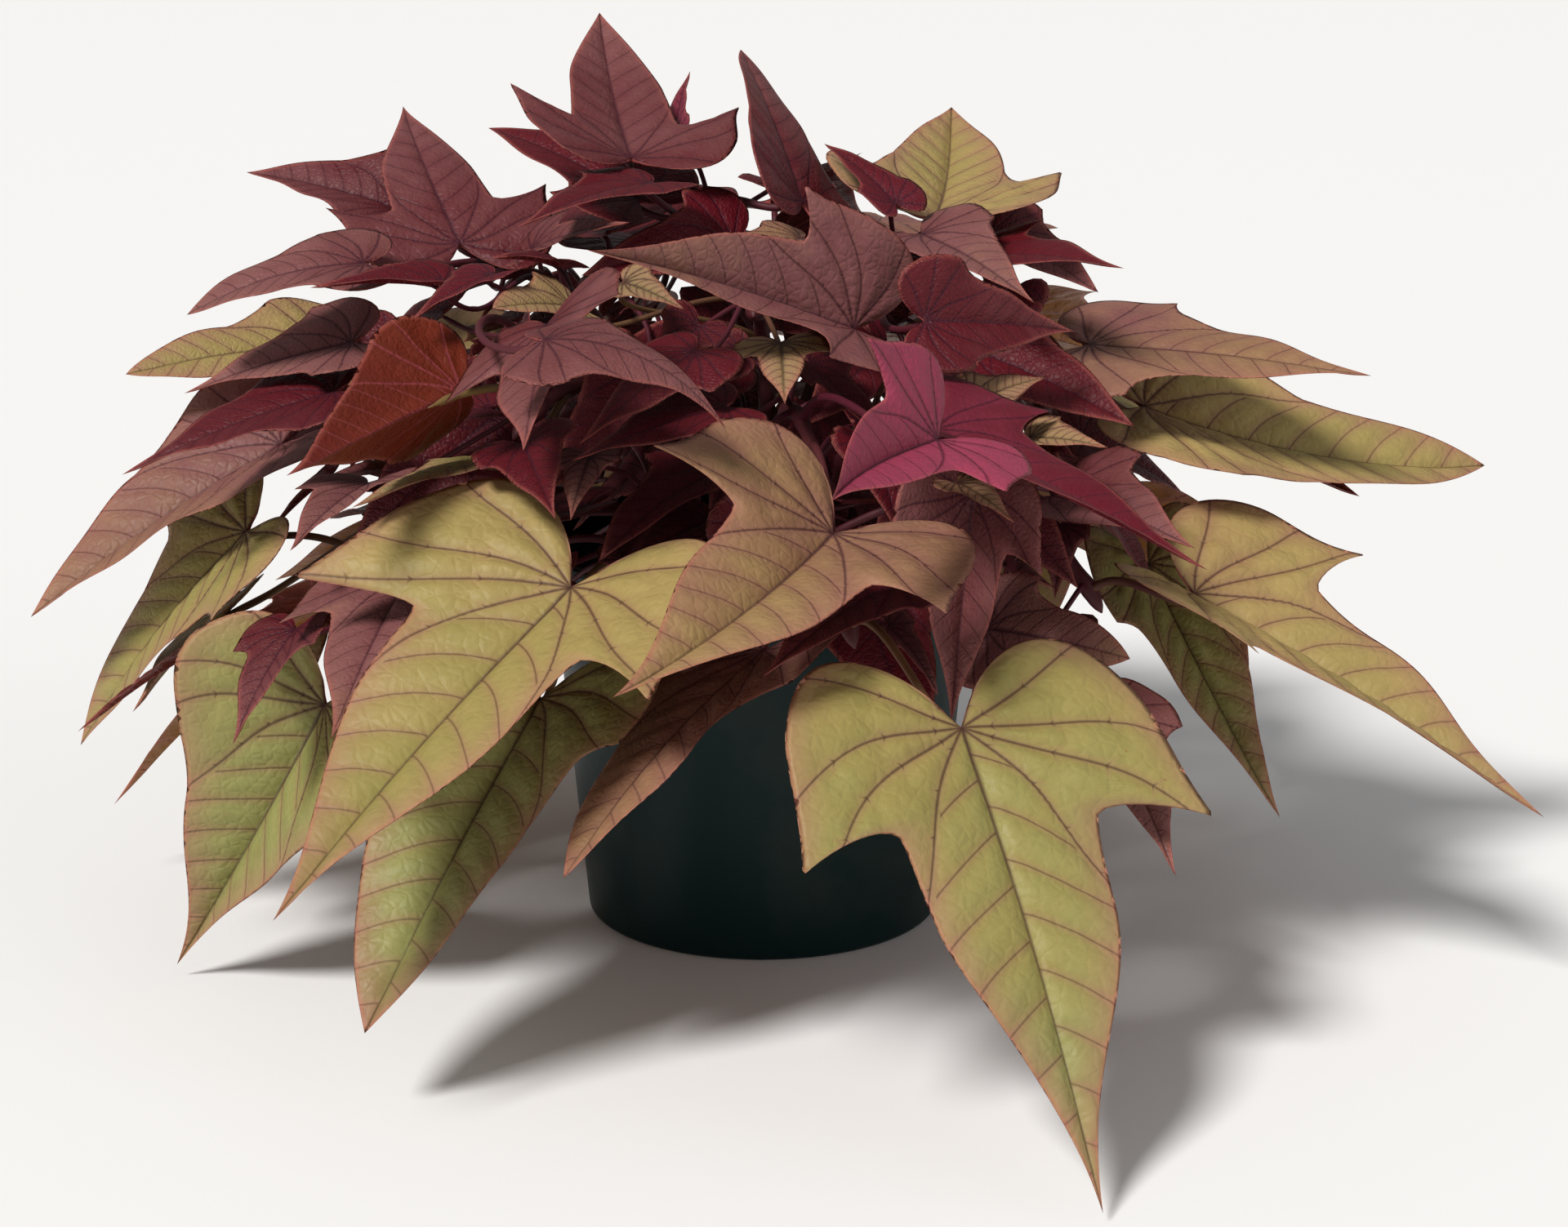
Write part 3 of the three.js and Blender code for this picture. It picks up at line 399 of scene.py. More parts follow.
# A blade's finer skin, in millimetres or as shares of its length: its rows and columns for each spacing in
# its length and their bounds, how its points lie, and the heights and widths of what stands out of it.
ROWS, ROW_BOUNDS = 1.15, (18, 84)
COLUMNS, COLUMN_BOUNDS = 0.36, (5, 26)
EDGE_SAMPLES = 60
CLIMB_POWER = 1.15
THIN_TIP = 0.06
CROWNING, CROWNED_WIDTH = 0.05, 0.35
MIDRIB_HEIGHT, MIDRIB_WIDTH, MIDRIB_END = 0.8, 1.0, 1.05
WAVE_COUNTS = (2.2, 4.2)
QUILTING_LEAST, QUILTING_BY_TONE = 0.4, 0.15
QUILTED_LENGTH, QUILTING_FADE = 70, 5
FIELD_WIDTH = 2.6
VEIN_DIP, VEIN_WIDTH = 0.25, 1.1
FAINT_REACH = 0.05
LEVEL_JOINT, LEVEL_TIP = 0.07, 0.12

# How near each other two points of a mesh are one, in metres.
MERGE_DISTANCE = 1e-5

# Round stalks and stems, in millimetres or as shares of their length: sides, spacing of rings, how much they
# thin out, and where they swell, by how much and how widely. A stalk has at least a few rings, sinks towards
# its end to meet the midrib, runs out under it and narrows quickly there. A tube's first ring is set square
# to ASKEW, along which no path starts.
STALK_SIDES, STALK_SPACING, STALK_TAPER, STALK_LEAST_RINGS = 10, 2, 0.2, 8
SINK_POWER = 6
RUNOUT_NARROWING, RUNOUT_LEAST = 9, 0.12
ASKEW = (0.31, 0.42, 0.85)
RUNOUT = (STALK_END, 0.2, 7)
RUNOUT_DEPTH = 0.8
STALK_FOOT_SWELL, STALK_FOOT_WIDTH = 0.35, 0.06
STALK_NECK, STALK_NECK_SWELL, STALK_NECK_WIDTH = 0.86, 0.15, 0.05
STEM_SIDES, STEM_SPACING, STEM_SAMPLES, STEM_TAPER = 14, 1.6, 80, 0.3
NODE_SWELL, NODE_WIDTH = 0.5, 3.0
STEM_START, STEM_END, STEM_END_LEAST = 1.04, 3, 0.02
STEM_TONE = 2.6

# Materials of a leafy stem, by their number in its mesh.
UPPER, UNDER, STALK = 0, 1, 2

# Veins of the flat leaf, in leaf lengths and radians: the bearing from the midrib at which each main vein
# leaves the joint, and how far it turns towards the tip in a leaf length. Then the steps of the side veins
# and of the branches, and how they rise, curve and end.
MAIN_VEINS = [(0.663, 0.52), (1.082, 0.28), (1.536, 0.65), (2.06, 0.21), (2.62, 0)]
SIDE_VEIN_STEP = 0.115
SIDE_VEIN_SLOPE = 0.55
SIDE_VEIN_CURVE = 1.6
BRANCH_STEP = 0.11
BRANCH_SLOPE = 0.7
BRANCH_CURVE = 1.5
BRANCH_REACH = 0.09
MIDRIB_FADE = 8.0
INNER_SHARPNESS, STAGGER_SHARPNESS = 30.0, 400.0
WANDER_ACROSS, WAVES_ALONG = 0.05, 17.0
WANDER_ALONG, WAVES_ACROSS = 0.07, 13.0
SECOND_DRAW = 1.7

# Colours of leaves' upper and under sides at tones from -1 to 9, as display values.
TONES = (-1, -0.3, 0, 1, 2, 3, 4, 5, 6, 7.3, 9)
UPPER_COLOURS = [
    (0.62, 0.24, 0.34), (0.40, 0.10, 0.16), (0.37, 0.05, 0.10), (0.35, 0.09, 0.12), (0.50, 0.31, 0.31),
    (0.58, 0.44, 0.32), (0.65, 0.56, 0.35), (0.59, 0.54, 0.31), (0.55, 0.55, 0.33), (0.38, 0.14, 0.09),
    (0.31, 0.08, 0.08),
]
UNDER_COLOURS = [
    (0.46, 0.11, 0.22), (0.38, 0.07, 0.15), (0.38, 0.05, 0.10), (0.34, 0.08, 0.10), (0.44, 0.19, 0.15),
    (0.52, 0.30, 0.18), (0.64, 0.42, 0.20), (0.56, 0.44, 0.24), (0.54, 0.52, 0.34), (0.44, 0.17, 0.10),
    (0.34, 0.09, 0.07),
]
TONE_LOW, TONE_SPAN = -1.0, 10.0

# How a leaf's tone shifts over it: towards the tip, with its clouds and blotches and between the veins. Red
# leaves, with a tone below FULL_SHIFT_TONE, shift less.
ALONG_SHIFT, SHIFT_MIDDLE = 0.9, 0.35
CLOUD_SHIFT, BLOTCH_SHIFT, FIELD_SHIFT = 1.5, 0.8, 0.2
RED_SHIFT, FULL_SHIFT_TONE = 0.3, 3.0

# Drawn veins, the midrib last: width in metres, how much wider at the joint, strength and depth of relief.
SIDE_LINE = (0.00024, 0.0, 0.7, 0.00018)
FAN_LINE = (0.00016, 0.00026, 0.85, 0.0002)
RIB_LINE = (0.00022, 0.00042, 0.92, 0.0002)
FIELD_EDGE = 0.0022
VEIN_TINT, VEIN_TINT_NEAR = 0.62, 0.3

# Flush along the edge and the veins, and the edge's own line: strengths and widths in metres. Tones from
# FLUSH_FROM to FLUSH_TO have the flush, and blotches break it up.
EDGE_FLUSH, EDGE_FLUSH_WIDTH = 0.45, 0.006
VEIN_FLUSH, VEIN_FLUSH_WIDTH = 0.3, 0.0011
RIM_TINT, RIM_STRENGTH, RIM_WIDTH = 0.6, 0.7, 0.0009
FLUSH_FROM, FLUSH_RISE, FLUSH_TO, FLUSH_BLOTCHES = 1.4, 2.0, 7.0, 0.5

# Noises of a leaf, as waves a metre and detail: its clouds, blotches, grain and fine grain. How they and the
# fields between veins lighten, roughen and raise it, with depths in metres, and the fine net's scale on the
# flat leaf. The fields' lightening is painted light on the swells between the veins and painted shade in the
# dips along them. Veins are wider up to NEAR_REACH leaf lengths from the joint.
LEAF_NOISES = ((34.0, 4.0), (110.0, 3.0), (520.0, 3.0), (1500.0, 2.0))
# The second weight is painted light on the swells between the veins and painted shade in the dips along them.
SHADE, FIELD_PAINTED_LIGHT, GRAIN_SHADE, FINE_SHADE = 0.76, 0.02, 0.16, 0.14
LEAF_ROUGHNESS, GRAIN_ROUGHNESS, FIELD_POLISH = 0.44, 0.18, 0.05
NOISE_DEPTHS = (0.0008, 0.0002, 0.00005)
NET_SCALE, NET_SHARPNESS, NET_DEPTH = 34.0, 4.0, 0.0002
LEAF_BUMP, LEAF_GLOSS = 0.65, 0.22
NEAR_REACH = 0.8
FAINT_DRAWN = 0.2

# Finishes of the plain skins: cloud and grain as waves a metre and detail, the roughness and what cloud and
# grain add to it, the depths of their relief in metres, the bump's strength and the gloss.
FINISHES = {
    "stalk_skin": ((60.0, 3.0), (700.0, 2.0), (0.45, 0.0, 0.2), (0.0, 0.00015), 0.5, 0.4),
    "pot_plastic": ((24.0, 5.0), (900.0, 2.0), (0.3, 0.22, 0.1), (0.0, 0.0001), 0.3, 0.18),
    "potting_soil": ((160.0, 6.0), (1500.0, 4.0), (0.86, 0.0, 0.1), (0.0012, 0.0006), 0.6, 0.5),
    "studio_floor": ((3.0, 2.0), (3.0, 2.0), (0.7, 0.05, 0.0), (0.0, 0.0), 0.0, 0.5),
}
FLOOR_CLOUD, FLOOR_CLOUDING = (0.8, 0.8, 0.8), 0.04
DUST_FROM, DUST_SHARPNESS, DUST_STRENGTH, DUST_GRAIN = 0.52, 5.0, 0.2, 0.6

# Ramps of the stalks' and the soil's colours, and the place on them: how far the cloud shifts a stalk's tone
# and the tone at the ramp's end, then the soil's least place and what its noise and its own tone add.
STALK_STOPS = [(0.0, (0.30, 0.06, 0.13)), (0.5, (0.32, 0.13, 0.14)), (1.0, (0.46, 0.36, 0.20))]
STALK_CLOUD, STALK_TONES = 2.4, 7.0
DARK_SOIL, SOIL_MIDDLE, BARK = (0.09, 0.06, 0.045), 0.55, (0.46, 0.36, 0.26)
SOIL_LEAST, SOIL_NOISE, SOIL_BY_TONE, SOIL_TONE = 0.16, 0.5, 0.35, 0.5


def linear(colour):
    """A display colour as the linear light values that shaders take."""
    value = np.asarray(colour, float)
    return tuple(np.where(value <= 0.04045, value / 12.92, ((value + 0.055) / 1.055) ** 2.4)) + (1.0,)


# Shaders -----------------------------------------------------------------------------------------------


class Value:
    """A shader socket that takes part in sums: each operator adds the Math node that it stands for."""

    def __init__(self, shading, socket):
        self.shading = shading
        self.socket = socket

    def math(self, operation, *terms):
        return self.shading.node("Math", {"operation": operation}, dict(enumerate(terms)))

    def __abs__(self):
        return self.math("ABSOLUTE", self)


def math_method(kind, reflected):
    """A method that adds the Math node of its kind, with the terms the other way round if reflected."""

    def method(self, other):
        return self.math(kind, other, self) if reflected else self.math(kind, self, other)

    return method


for sign, kind in (("add", "ADD"), ("sub", "SUBTRACT"), ("mul", "MULTIPLY"), ("truediv", "DIVIDE"),
                   ("pow", "POWER"), ("mod", "FLOORED_MODULO")):
    setattr(Value, f"__{sign}__", math_method(kind, False))
    setattr(Value, f"__r{sign}__", math_method(kind, True))


def least(a, b):
    return a.math("MINIMUM", a, b) if isinstance(a, Value) else np.minimum(a, b)


def most(a, b):
    return a.math("MAXIMUM", a, b) if isinstance(a, Value) else np.maximum(a, b)


def bearing(x, y):
    return x.math("ARCTAN2", x, y) if isinstance(x, Value) else np.arctan2(x, y)


def wave(value):
    return value.math("SINE", value) if isinstance(value, Value) else np.sin(value)


def share(value):
    """The value kept between 0 and 1."""
    return least(most(value, 0.0), 1.0)


def hump(distance, width):
    """1 at no distance, falling off as a bell of that width."""
    return np.e ** (-1.0 * (distance / width) ** 2.0)


class Shading:
    """A material's nodes. Settings of a node are set first, then its sockets get values or links."""

    def __init__(self, name):
        self.material = bpy.data.materials.new(name)
        self.material.use_nodes = True
        self.tree = self.material.node_tree
        self.tree.nodes.clear()

    def node(self, kind, settings=None, sockets=None, output=0):
        made = self.tree.nodes.new("ShaderNode" + kind)
        for name, value in (settings or {}).items():
            if name == "stops":
                self.set_stops(made.color_ramp, value)
            else:
                setattr(made, name, value)
        for key, value in (sockets or {}).items():
            if isinstance(value, Value):
                self.tree.links.new(value.socket, made.inputs[key])
            else:
                made.inputs[key].default_value = value
        return Value(self, made.outputs[output])

    def set_stops(self, ramp, stops):
        while len(ramp.elements) < len(stops):
            ramp.elements.new(0.5)
        for element, (place, colour) in zip(ramp.elements, stops):
            element.position = place
            element.color = colour

    def ramp(self, stops, place):
        """The colour at a place on a ramp of stops, which are shares with display colours."""
        stops = [(at, linear(colour)) for at, colour in stops]
        return self.node("ValToRGB", {"stops": stops}, {0: place})

    def attribute(self, name):
        return self.node("Attribute", {"attribute_name": name}, output=2)

    def mix(self, factor, a, b, mode="MIX"):
        settings = {"data_type": "RGBA", "blend_type": mode, "clamp_factor": True}
        return self.node("Mix", settings, {0: factor, 6: a, 7: b}, output=2)

    def noise(self, scale, detail):
        """Soft noise between 0 and 1 in object space, with the scale in waves a metre."""
        place = self.node("TexCoord", output=3)
        return self.node("TexNoise", {}, {"Vector": place, "Scale": scale, "Detail": detail})

    def finish(self, colour, roughness, height, bump, gloss):
        """The surface: base colour, roughness, gloss and a bump of the height in metres."""
        relief = self.node("Bump", {}, {"Height": height, "Strength": bump, "Distance": 1.0})
        surface = self.node("BsdfPrincipled", {}, {"Base Color": colour, "Roughness": roughness,
                                                   "Specular IOR Level": gloss, "Normal": relief})
        output = self.tree.nodes.new("ShaderNodeOutputMaterial")
        self.tree.links.new(surface.socket, output.inputs["Surface"])
        return self.material


def vein_distances(x, y, draw):
    """Where a point of the flat leaf lies among its veins: its distances in leaf lengths from the midrib, the
    nearest main vein, the nearest side vein and the nearest branch, and how faint that branch is.

    The main veins are the midrib and those that leave the joint at a bearing of their own and turn towards
    the tip as they go, so their distance is the radius times what the bearings differ by. Side veins leave
    the midrib at even steps, alternately left and right, and rise as slope times x plus curve times x
    squared. Branches leave the other main veins at even radii, lean outwards and grow faint with distance.
    Side veins hold between the midrib and the first main vein, and branches outside it. Sines of the place,
    which differ from leaf to leaf by the draw, bend all but the midrib.
    """
    across = abs(x) * (1.0 + WANDER_ACROSS * wave(WAVES_ALONG * y + draw))
    y = y + WANDER_ALONG * across * wave(WAVES_ACROSS * x + SECOND_DRAW * draw)
    radius = (across**2.0 + y**2.0) ** 0.5
    heading = bearing(across, y)
    fan = [abs(heading - (angle - turn * radius)) * radius for angle, turn in MAIN_VEINS]
    nearest = fan[0]
    for distance in fan[1:]:
        nearest = least(nearest, distance)
    midrib = across + MIDRIB_FADE * most(-1.0 * y, 0.0)
    inner = share((MAIN_VEINS[0][0] - MAIN_VEINS[0][1] * radius - heading) * INNER_SHARPNESS)
    stagger = 0.5 * share(x * STAGGER_SHARPNESS)
    rise = y - SIDE_VEIN_SLOPE * across - SIDE_VEIN_CURVE * across**2.0
    phase = (rise / SIDE_VEIN_STEP + stagger) % 1.0
    steepness = (1.0 + (SIDE_VEIN_SLOPE + 2.0 * SIDE_VEIN_CURVE * across) ** 2.0) ** 0.5
    side = abs(phase - 0.5) * SIDE_VEIN_STEP / steepness + (1.0 - inner)
    phase = ((radius - BRANCH_SLOPE * nearest - BRANCH_CURVE * nearest**2.0) / BRANCH_STEP) % 1.0
    steepness = (1.0 + (BRANCH_SLOPE + 2.0 * BRANCH_CURVE * nearest) ** 2.0) ** 0.5
    branch = abs(phase - 0.5) * BRANCH_STEP / steepness + inner
    faint = 1.0 - hump(nearest * (1.0 - inner), BRANCH_REACH)
    return midrib, nearest, side, branch, faint


def leaf_shading(name, colours, under, settings):
    """A leaf's skin: its tone's colour, clouded, with painted light in the middle of the fields between veins
    and painted shade along the veins, with dark or pale vein lines, a warm rim and a fine net in relief. It
    reads the flat leaf's coordinates and the leaf's own attributes."""
    shading = Shading(name)
    flat = shading.node("UVMap", {"uv_map": "leaf"})
    x = shading.node("SeparateXYZ", {}, {0: flat}, output=0)
    y = shading.node("SeparateXYZ", {}, {0: flat}, output=1)
    size, tone, rim, draw = (shading.attribute(field) for field in ("size", "tone", "rim", "draw"))
    cloud, blotch, grain, fine = (shading.noise(*noise) for noise in LEAF_NOISES)
    midrib, fan, side, branch, faint = vein_distances(x, y, draw)
    near = share(1.0 - (x**2.0 + y**2.0) ** 0.5 / NEAR_REACH)
    thin = least(side, branch + FAINT_DRAWN * faint) * size
    field = 1.0 - hump(least(fan * size, thin), FIELD_EDGE)
    shift = (ALONG_SHIFT * (y - SHIFT_MIDDLE) + CLOUD_SHIFT * (cloud - 0.5) + BLOTCH_SHIFT * (blotch - 0.5)
             + FIELD_SHIFT * (field - 0.5))
    shift = shift * (RED_SHIFT + (1.0 - RED_SHIFT) * share(tone / FULL_SHIFT_TONE))
    stops = [((value - TONE_LOW) / TONE_SPAN, colour) for value, colour in zip(TONES, colours)]
    skin = shading.ramp(stops, share((tone + shift - TONE_LOW) / TONE_SPAN))
    # Painted light on the swells between the veins and painted shade along them, plus grain and fine grain.
    grain_and_painted_light = SHADE + FIELD_PAINTED_LIGHT * share(tone) * tone * field + GRAIN_SHADE * grain + FINE_SHADE * fine
    skin = shading.mix(1.0, skin, shading.node("CombineXYZ", {}, {0: grain_and_painted_light, 1: grain_and_painted_light, 2: grain_and_painted_light}), "MULTIPLY")
    vein = shading.mix(VEIN_TINT + VEIN_TINT_NEAR * near, skin,
                       linear(settings.under_vein if under else settings.vein))
    flush = (EDGE_FLUSH * hump(rim, EDGE_FLUSH_WIDTH)
             + VEIN_FLUSH * hump(least(fan * size, thin), VEIN_FLUSH_WIDTH))
    flush = share((tone - FLUSH_FROM) / FLUSH_RISE) * share(FLUSH_TO - tone) * flush
    skin = shading.mix(flush + FLUSH_BLOTCHES * flush * (blotch - 0.5), skin, linear(settings.flush))
    net = shading.node("TexVoronoi", {"feature": "DISTANCE_TO_EDGE"}, {"Vector": flat, "Scale": NET_SCALE})
    height = share(net * NET_SHARPNESS) * NET_DEPTH
    for noise, depth in zip((blotch, grain, fine), NOISE_DEPTHS):
        height = height + noise * depth
    for distance, line in ((thin, SIDE_LINE), (fan * size, FAN_LINE), (midrib * size, RIB_LINE)):
        width, widening, strength, depth = line
        drawn = hump(distance, width + widening * near)
        skin = shading.mix(drawn * strength, skin, vein)
        height = height - drawn * depth
    skin = shading.mix(hump(rim, RIM_WIDTH) * RIM_STRENGTH, skin,
                       shading.mix(RIM_TINT, skin, linear(settings.rim)))
    roughness = LEAF_ROUGHNESS + GRAIN_ROUGHNESS * grain - FIELD_POLISH * field
    return shading.finish(skin, roughness, height, LEAF_BUMP, LEAF_GLOSS)


def plain_shading(name, colouring):
    """A skin with the finish of that name. Its colour comes from a function of the shading, its cloud and
    its grain."""
    cloudiness, graininess, roughness, depths, bump, gloss = FINISHES[name]
    shading = Shading(name)
    cloud, grain = shading.noise(*cloudiness), shading.noise(*graininess)
    rough = roughness[0] + roughness[1] * cloud + roughness[2] * grain
    relief = cloud * depths[0] + grain * depths[1]
    return shading.finish(colouring(shading, cloud, grain), rough, relief, bump, gloss)


def stalk_colour(shading, cloud, grain):
    """Stalks and stems: plum, streaked with crimson and green by the leaf's tone."""
    tone = shading.attribute("tone") + STALK_CLOUD * (cloud - 0.5)
    return shading.ramp(STALK_STOPS, share(tone / STALK_TONES))


# Curves and surfaces -----------------------------------------------------------------------------------


def bezier(points, at):
    """A cubic Bezier's points at the shares `at`: its four control points blended by the Bernstein sums."""
    points = np.asarray(points, float)
    at = np.asarray(at, float)[:, None]
    rest = 1 - at
    return (rest**3 * points[0] + 3 * rest**2 * at * points[1]
            + 3 * rest * at**2 * points[2] + at**3 * points[3])


def evenly(points, count):
    """Points at even distances along a polyline."""
    lengths = np.concatenate([[0], np.cumsum(np.linalg.norm(np.diff(points, axis=0), axis=1))])
    at = np.linspace(0, lengths[-1], count)
    return np.stack([np.interp(at, lengths, points[:, axis]) for axis in range(points.shape[1])], axis=1)


def path_length(points):
    return np.linalg.norm(np.diff(points, axis=0), axis=1).sum()


def unit(vector):
    return vector / np.linalg.norm(vector)


def turned_about(vector, axis, angle):
    """A vector turned about a unit axis that it stands square to."""
    return vector * np.cos(angle) + np.cross(axis, vector) * np.sin(angle)


def tube(path, radii, sides):
    """A round skin along a path: at each point a ring of the given radius, square to the path and turned as
    little as possible from the last. Returns points on a grid of rings by sides."""
    headings = np.gradient(path, axis=0)
    headings /= np.linalg.norm(headings, axis=1)[:, None]
    first = np.cross(headings[0], ASKEW)
    normals = [unit(first)]
    for heading in headings[1:]:
        normals.append(unit(normals[-1] - heading * (normals[-1] @ heading)))
    normals = np.array(normals)
    others = np.cross(headings, normals)
    angles = TAU * np.arange(sides) / sides
    ring = (normals[:, None, :] * np.cos(angles)[None, :, None]
            + others[:, None, :] * np.sin(angles)[None, :, None])
    return path[:, None, :] + ring * np.asarray(radii)[:, None, None]


def grid_faces(rows, columns):
    """Corner numbers of the quads of a grid that closes round its columns, row by row."""
    here = np.arange(rows * columns).reshape(rows, columns)
    across = np.roll(here, -1, axis=1)
    return np.stack([here[:-1], across[:-1], across[1:], here[1:]], axis=-1).reshape(-1, 4)


class Skin:
    """Collects grids of quads into one mesh, with the leaf attributes that the materials read."""

    FIELDS = ("tone", "size", "rim", "draw")

    def __init__(self):
        self.points = []
        self.faces = []
        self.caps = []
        self.flats = []
        self.slots = []
        self.fields = {name: [] for name in self.FIELDS}
        self.count = 0

    def add_grid(self, grid, slots, flat=None, capped=True, **fields):
        """Adds a grid of points. `slots` gives the material of each column of quads, and `flat` each
        point's place on the flat leaf."""
        rows, columns = grid.shape[:2]
        size = rows * columns
        self.points.append(grid.reshape(-1, 3))
        self.faces.append(grid_faces(rows, columns) + self.count)
        self.slots.append(np.tile(np.broadcast_to(slots, columns), rows - 1))
        self.flats.append(np.zeros((size, 2)) if flat is None else flat.reshape(-1, 2))
        if capped:
            first = np.arange(columns) + self.count
            last = first + (rows - 1) * columns
            self.caps += [first[::-1].tolist(), last.tolist()]
        for name in self.FIELDS:
            value = np.broadcast_to(fields.get(name, 0.0), (rows, columns))
            self.fields[name].append(np.asarray(value, float).reshape(-1))
        self.count += size

    def piece(self, name, materials):
        """Makes the object, with points that coincide merged and degenerate faces gone."""
        points = np.concatenate(self.points) * MM
        faces = np.concatenate(self.faces).tolist() + self.caps
        mesh = bpy.data.meshes.new(name)
        mesh.from_pydata(points, [], faces)
        slots = np.concatenate([*self.slots, np.full(len(self.caps), self.slots[-1][-1])])
        mesh.polygons.foreach_set("material_index", slots.astype(np.int32))
        mesh.polygons.foreach_set("use_smooth", np.ones(len(faces), bool))
        for field, values in self.fields.items():
            attribute = mesh.attributes.new(field, "FLOAT", "POINT")
            attribute.data.foreach_set("value", np.concatenate(values).astype(np.float32))
        loops = np.empty(len(mesh.loops), np.int32)
        mesh.loops.foreach_get("vertex_index", loops)
        flats = np.concatenate(self.flats)[loops]
        mesh.uv_layers.new(name="leaf").data.foreach_set("uv", flats.astype(np.float32).reshape(-1))
        for material in materials:
            mesh.materials.append(material)
        return placed(name, cleaned(mesh))


def cleaned(mesh):
    """The mesh with its coinciding points merged and its faces turned outwards."""
    shape = bmesh.new()
    shape.from_mesh(mesh)
    bmesh.ops.remove_doubles(shape, verts=shape.verts, dist=MERGE_DISTANCE)
    bmesh.ops.dissolve_degenerate(shape, edges=shape.edges, dist=MERGE_DISTANCE)
    bmesh.ops.recalc_face_normals(shape, faces=shape.faces)
    shape.to_mesh(mesh)
    shape.free()
    return mesh


def placed(name, data):
    """A new object of the data in the scene."""
    made = bpy.data.objects.new(name, data)
    bpy.context.scene.collection.objects.link(made)
    return made


# Leaves ------------------------------------------------------------------------------------------------


def blended(a, b, amount):
    return np.asarray(a, float) * (1 - amount) + np.asarray(b, float) * amount


def edge_runs(lobe, full):
    """Half of a leaf's edge as five cubic runs in leaf lengths, x sideways and y towards the tip: the back
    lobe, the side, the pointed side lobe, the notch above it and the drawn-out tip. Lobe 0 is a heart, and
    full 0 a slender tip."""
    side = (0.365, 0)
    point = blended((0.33, 0.2), (0.42, 0.29), lobe)
    notch = blended((0.285, 0.29), (0.195, 0.215), lobe)
    shoulder = blended((0.2, 0.45), (0.172, 0.43), lobe)
    return [
        [(0.012, -0.015), (0.06, -0.14), (0.26, -0.3), side],
        [side, (0.385, 0.08), blended((0.365, 0.13), (0.37, 0.17), lobe), point],
        [point, blended((0.32, 0.22), (0.34, 0.235), lobe),
         blended((0.3, 0.26), (0.235, 0.195), lobe), notch],
        [notch, blended((0.26, 0.33), (0.18, 0.27), lobe),
         blended((0.225, 0.39), (0.178, 0.36), lobe), shoulder],
        [shoulder, blended((0.15, 0.62), (0.19, 0.66), full),
         blended((0.035, 0.74), (0.11, 0.88), full), (0, 1)],
    ]


class Blade:
    """Where a leaf's blade lies: its midrib is an arc from the joint to the tip that turns down by the
    droop, and its two halves rise from the midrib by the fold. Millimetres."""

    def __init__(self, row, move=(0, 0, 0, 0, 0)):
        at, tip, roll, droop, fold, self.width, self.lobe, self.sweep, self.full = row
        depth, lift, pitch, turn, slide = move
        at, tip = np.asarray(at, float), np.asarray(tip, float)
        _, normal, across = self.axes(at, tip, roll, at)
        shift = unit(at - CAMERA) * depth + normal * lift + across * slide
        self.at = at + shift
        self.tip = tip + shift + normal * pitch
        self.along, self.normal, self.across = self.axes(self.at, self.tip, roll + turn, at)
        self.droop = np.radians(1 if abs(droop) < 1 else droop)
        self.fold = np.radians(fold)
        self.length = np.linalg.norm(self.tip - self.at) * (self.droop / 2) / np.sin(self.droop / 2)
        self.bend = self.length / self.droop
        self.start = self.along * np.cos(self.droop / 2) + self.normal * np.sin(self.droop / 2)

    @staticmethod
    def axes(at, tip, roll, place):
        """Along the chord, square to it upwards and away from the pot's axis as seen at `place`, and
        across, both turned about the chord by the roll."""
        along = unit(tip - at)
        outward = np.array([place[0], place[1], 0.0])
        outward = unit(outward) if np.linalg.norm(outward) > 1 else np.array([0.0, -1.0, 0.0])
        normal = np.array([0.0, 0.0, 1.0]) + NORMAL_LEAN * outward
        normal = unit(normal - along * (normal @ along))
        across = np.cross(along, normal)
        angle = np.radians(roll)
        return along, turned_about(normal, along, angle), turned_about(across, along, angle)

    def point(self, x, y, height=0.0):
        """The blade's points at x sideways and y along, in leaf lengths, raised by a height: along an arc of
        radius `bend`, straight back from the joint, and sideways with the fold's rise and the sweep's bow
        of 4 sweep y (1 - y)."""
        x, y, height = (np.asarray(value, float)[..., None] for value in (x, y, height))
        half = self.droop / 2
        beyond = np.maximum(y, 0)
        angle = beyond * self.length / self.bend - half
        upwards = self.along * np.sin(angle) + self.normal * np.cos(angle)
        side = x * self.length * self.width
        bowed = 4 * self.sweep * beyond * (1 - y) * self.length
        return (self.at + self.along * self.bend * (np.sin(angle) + np.sin(half))
                + self.normal * self.bend * (np.cos(angle) - np.cos(half))
                + self.start * np.minimum(y, 0) * self.length
                + self.across * (side * np.cos(self.fold) + bowed)
                + upwards * (np.abs(side) * np.sin(self.fold) + height))


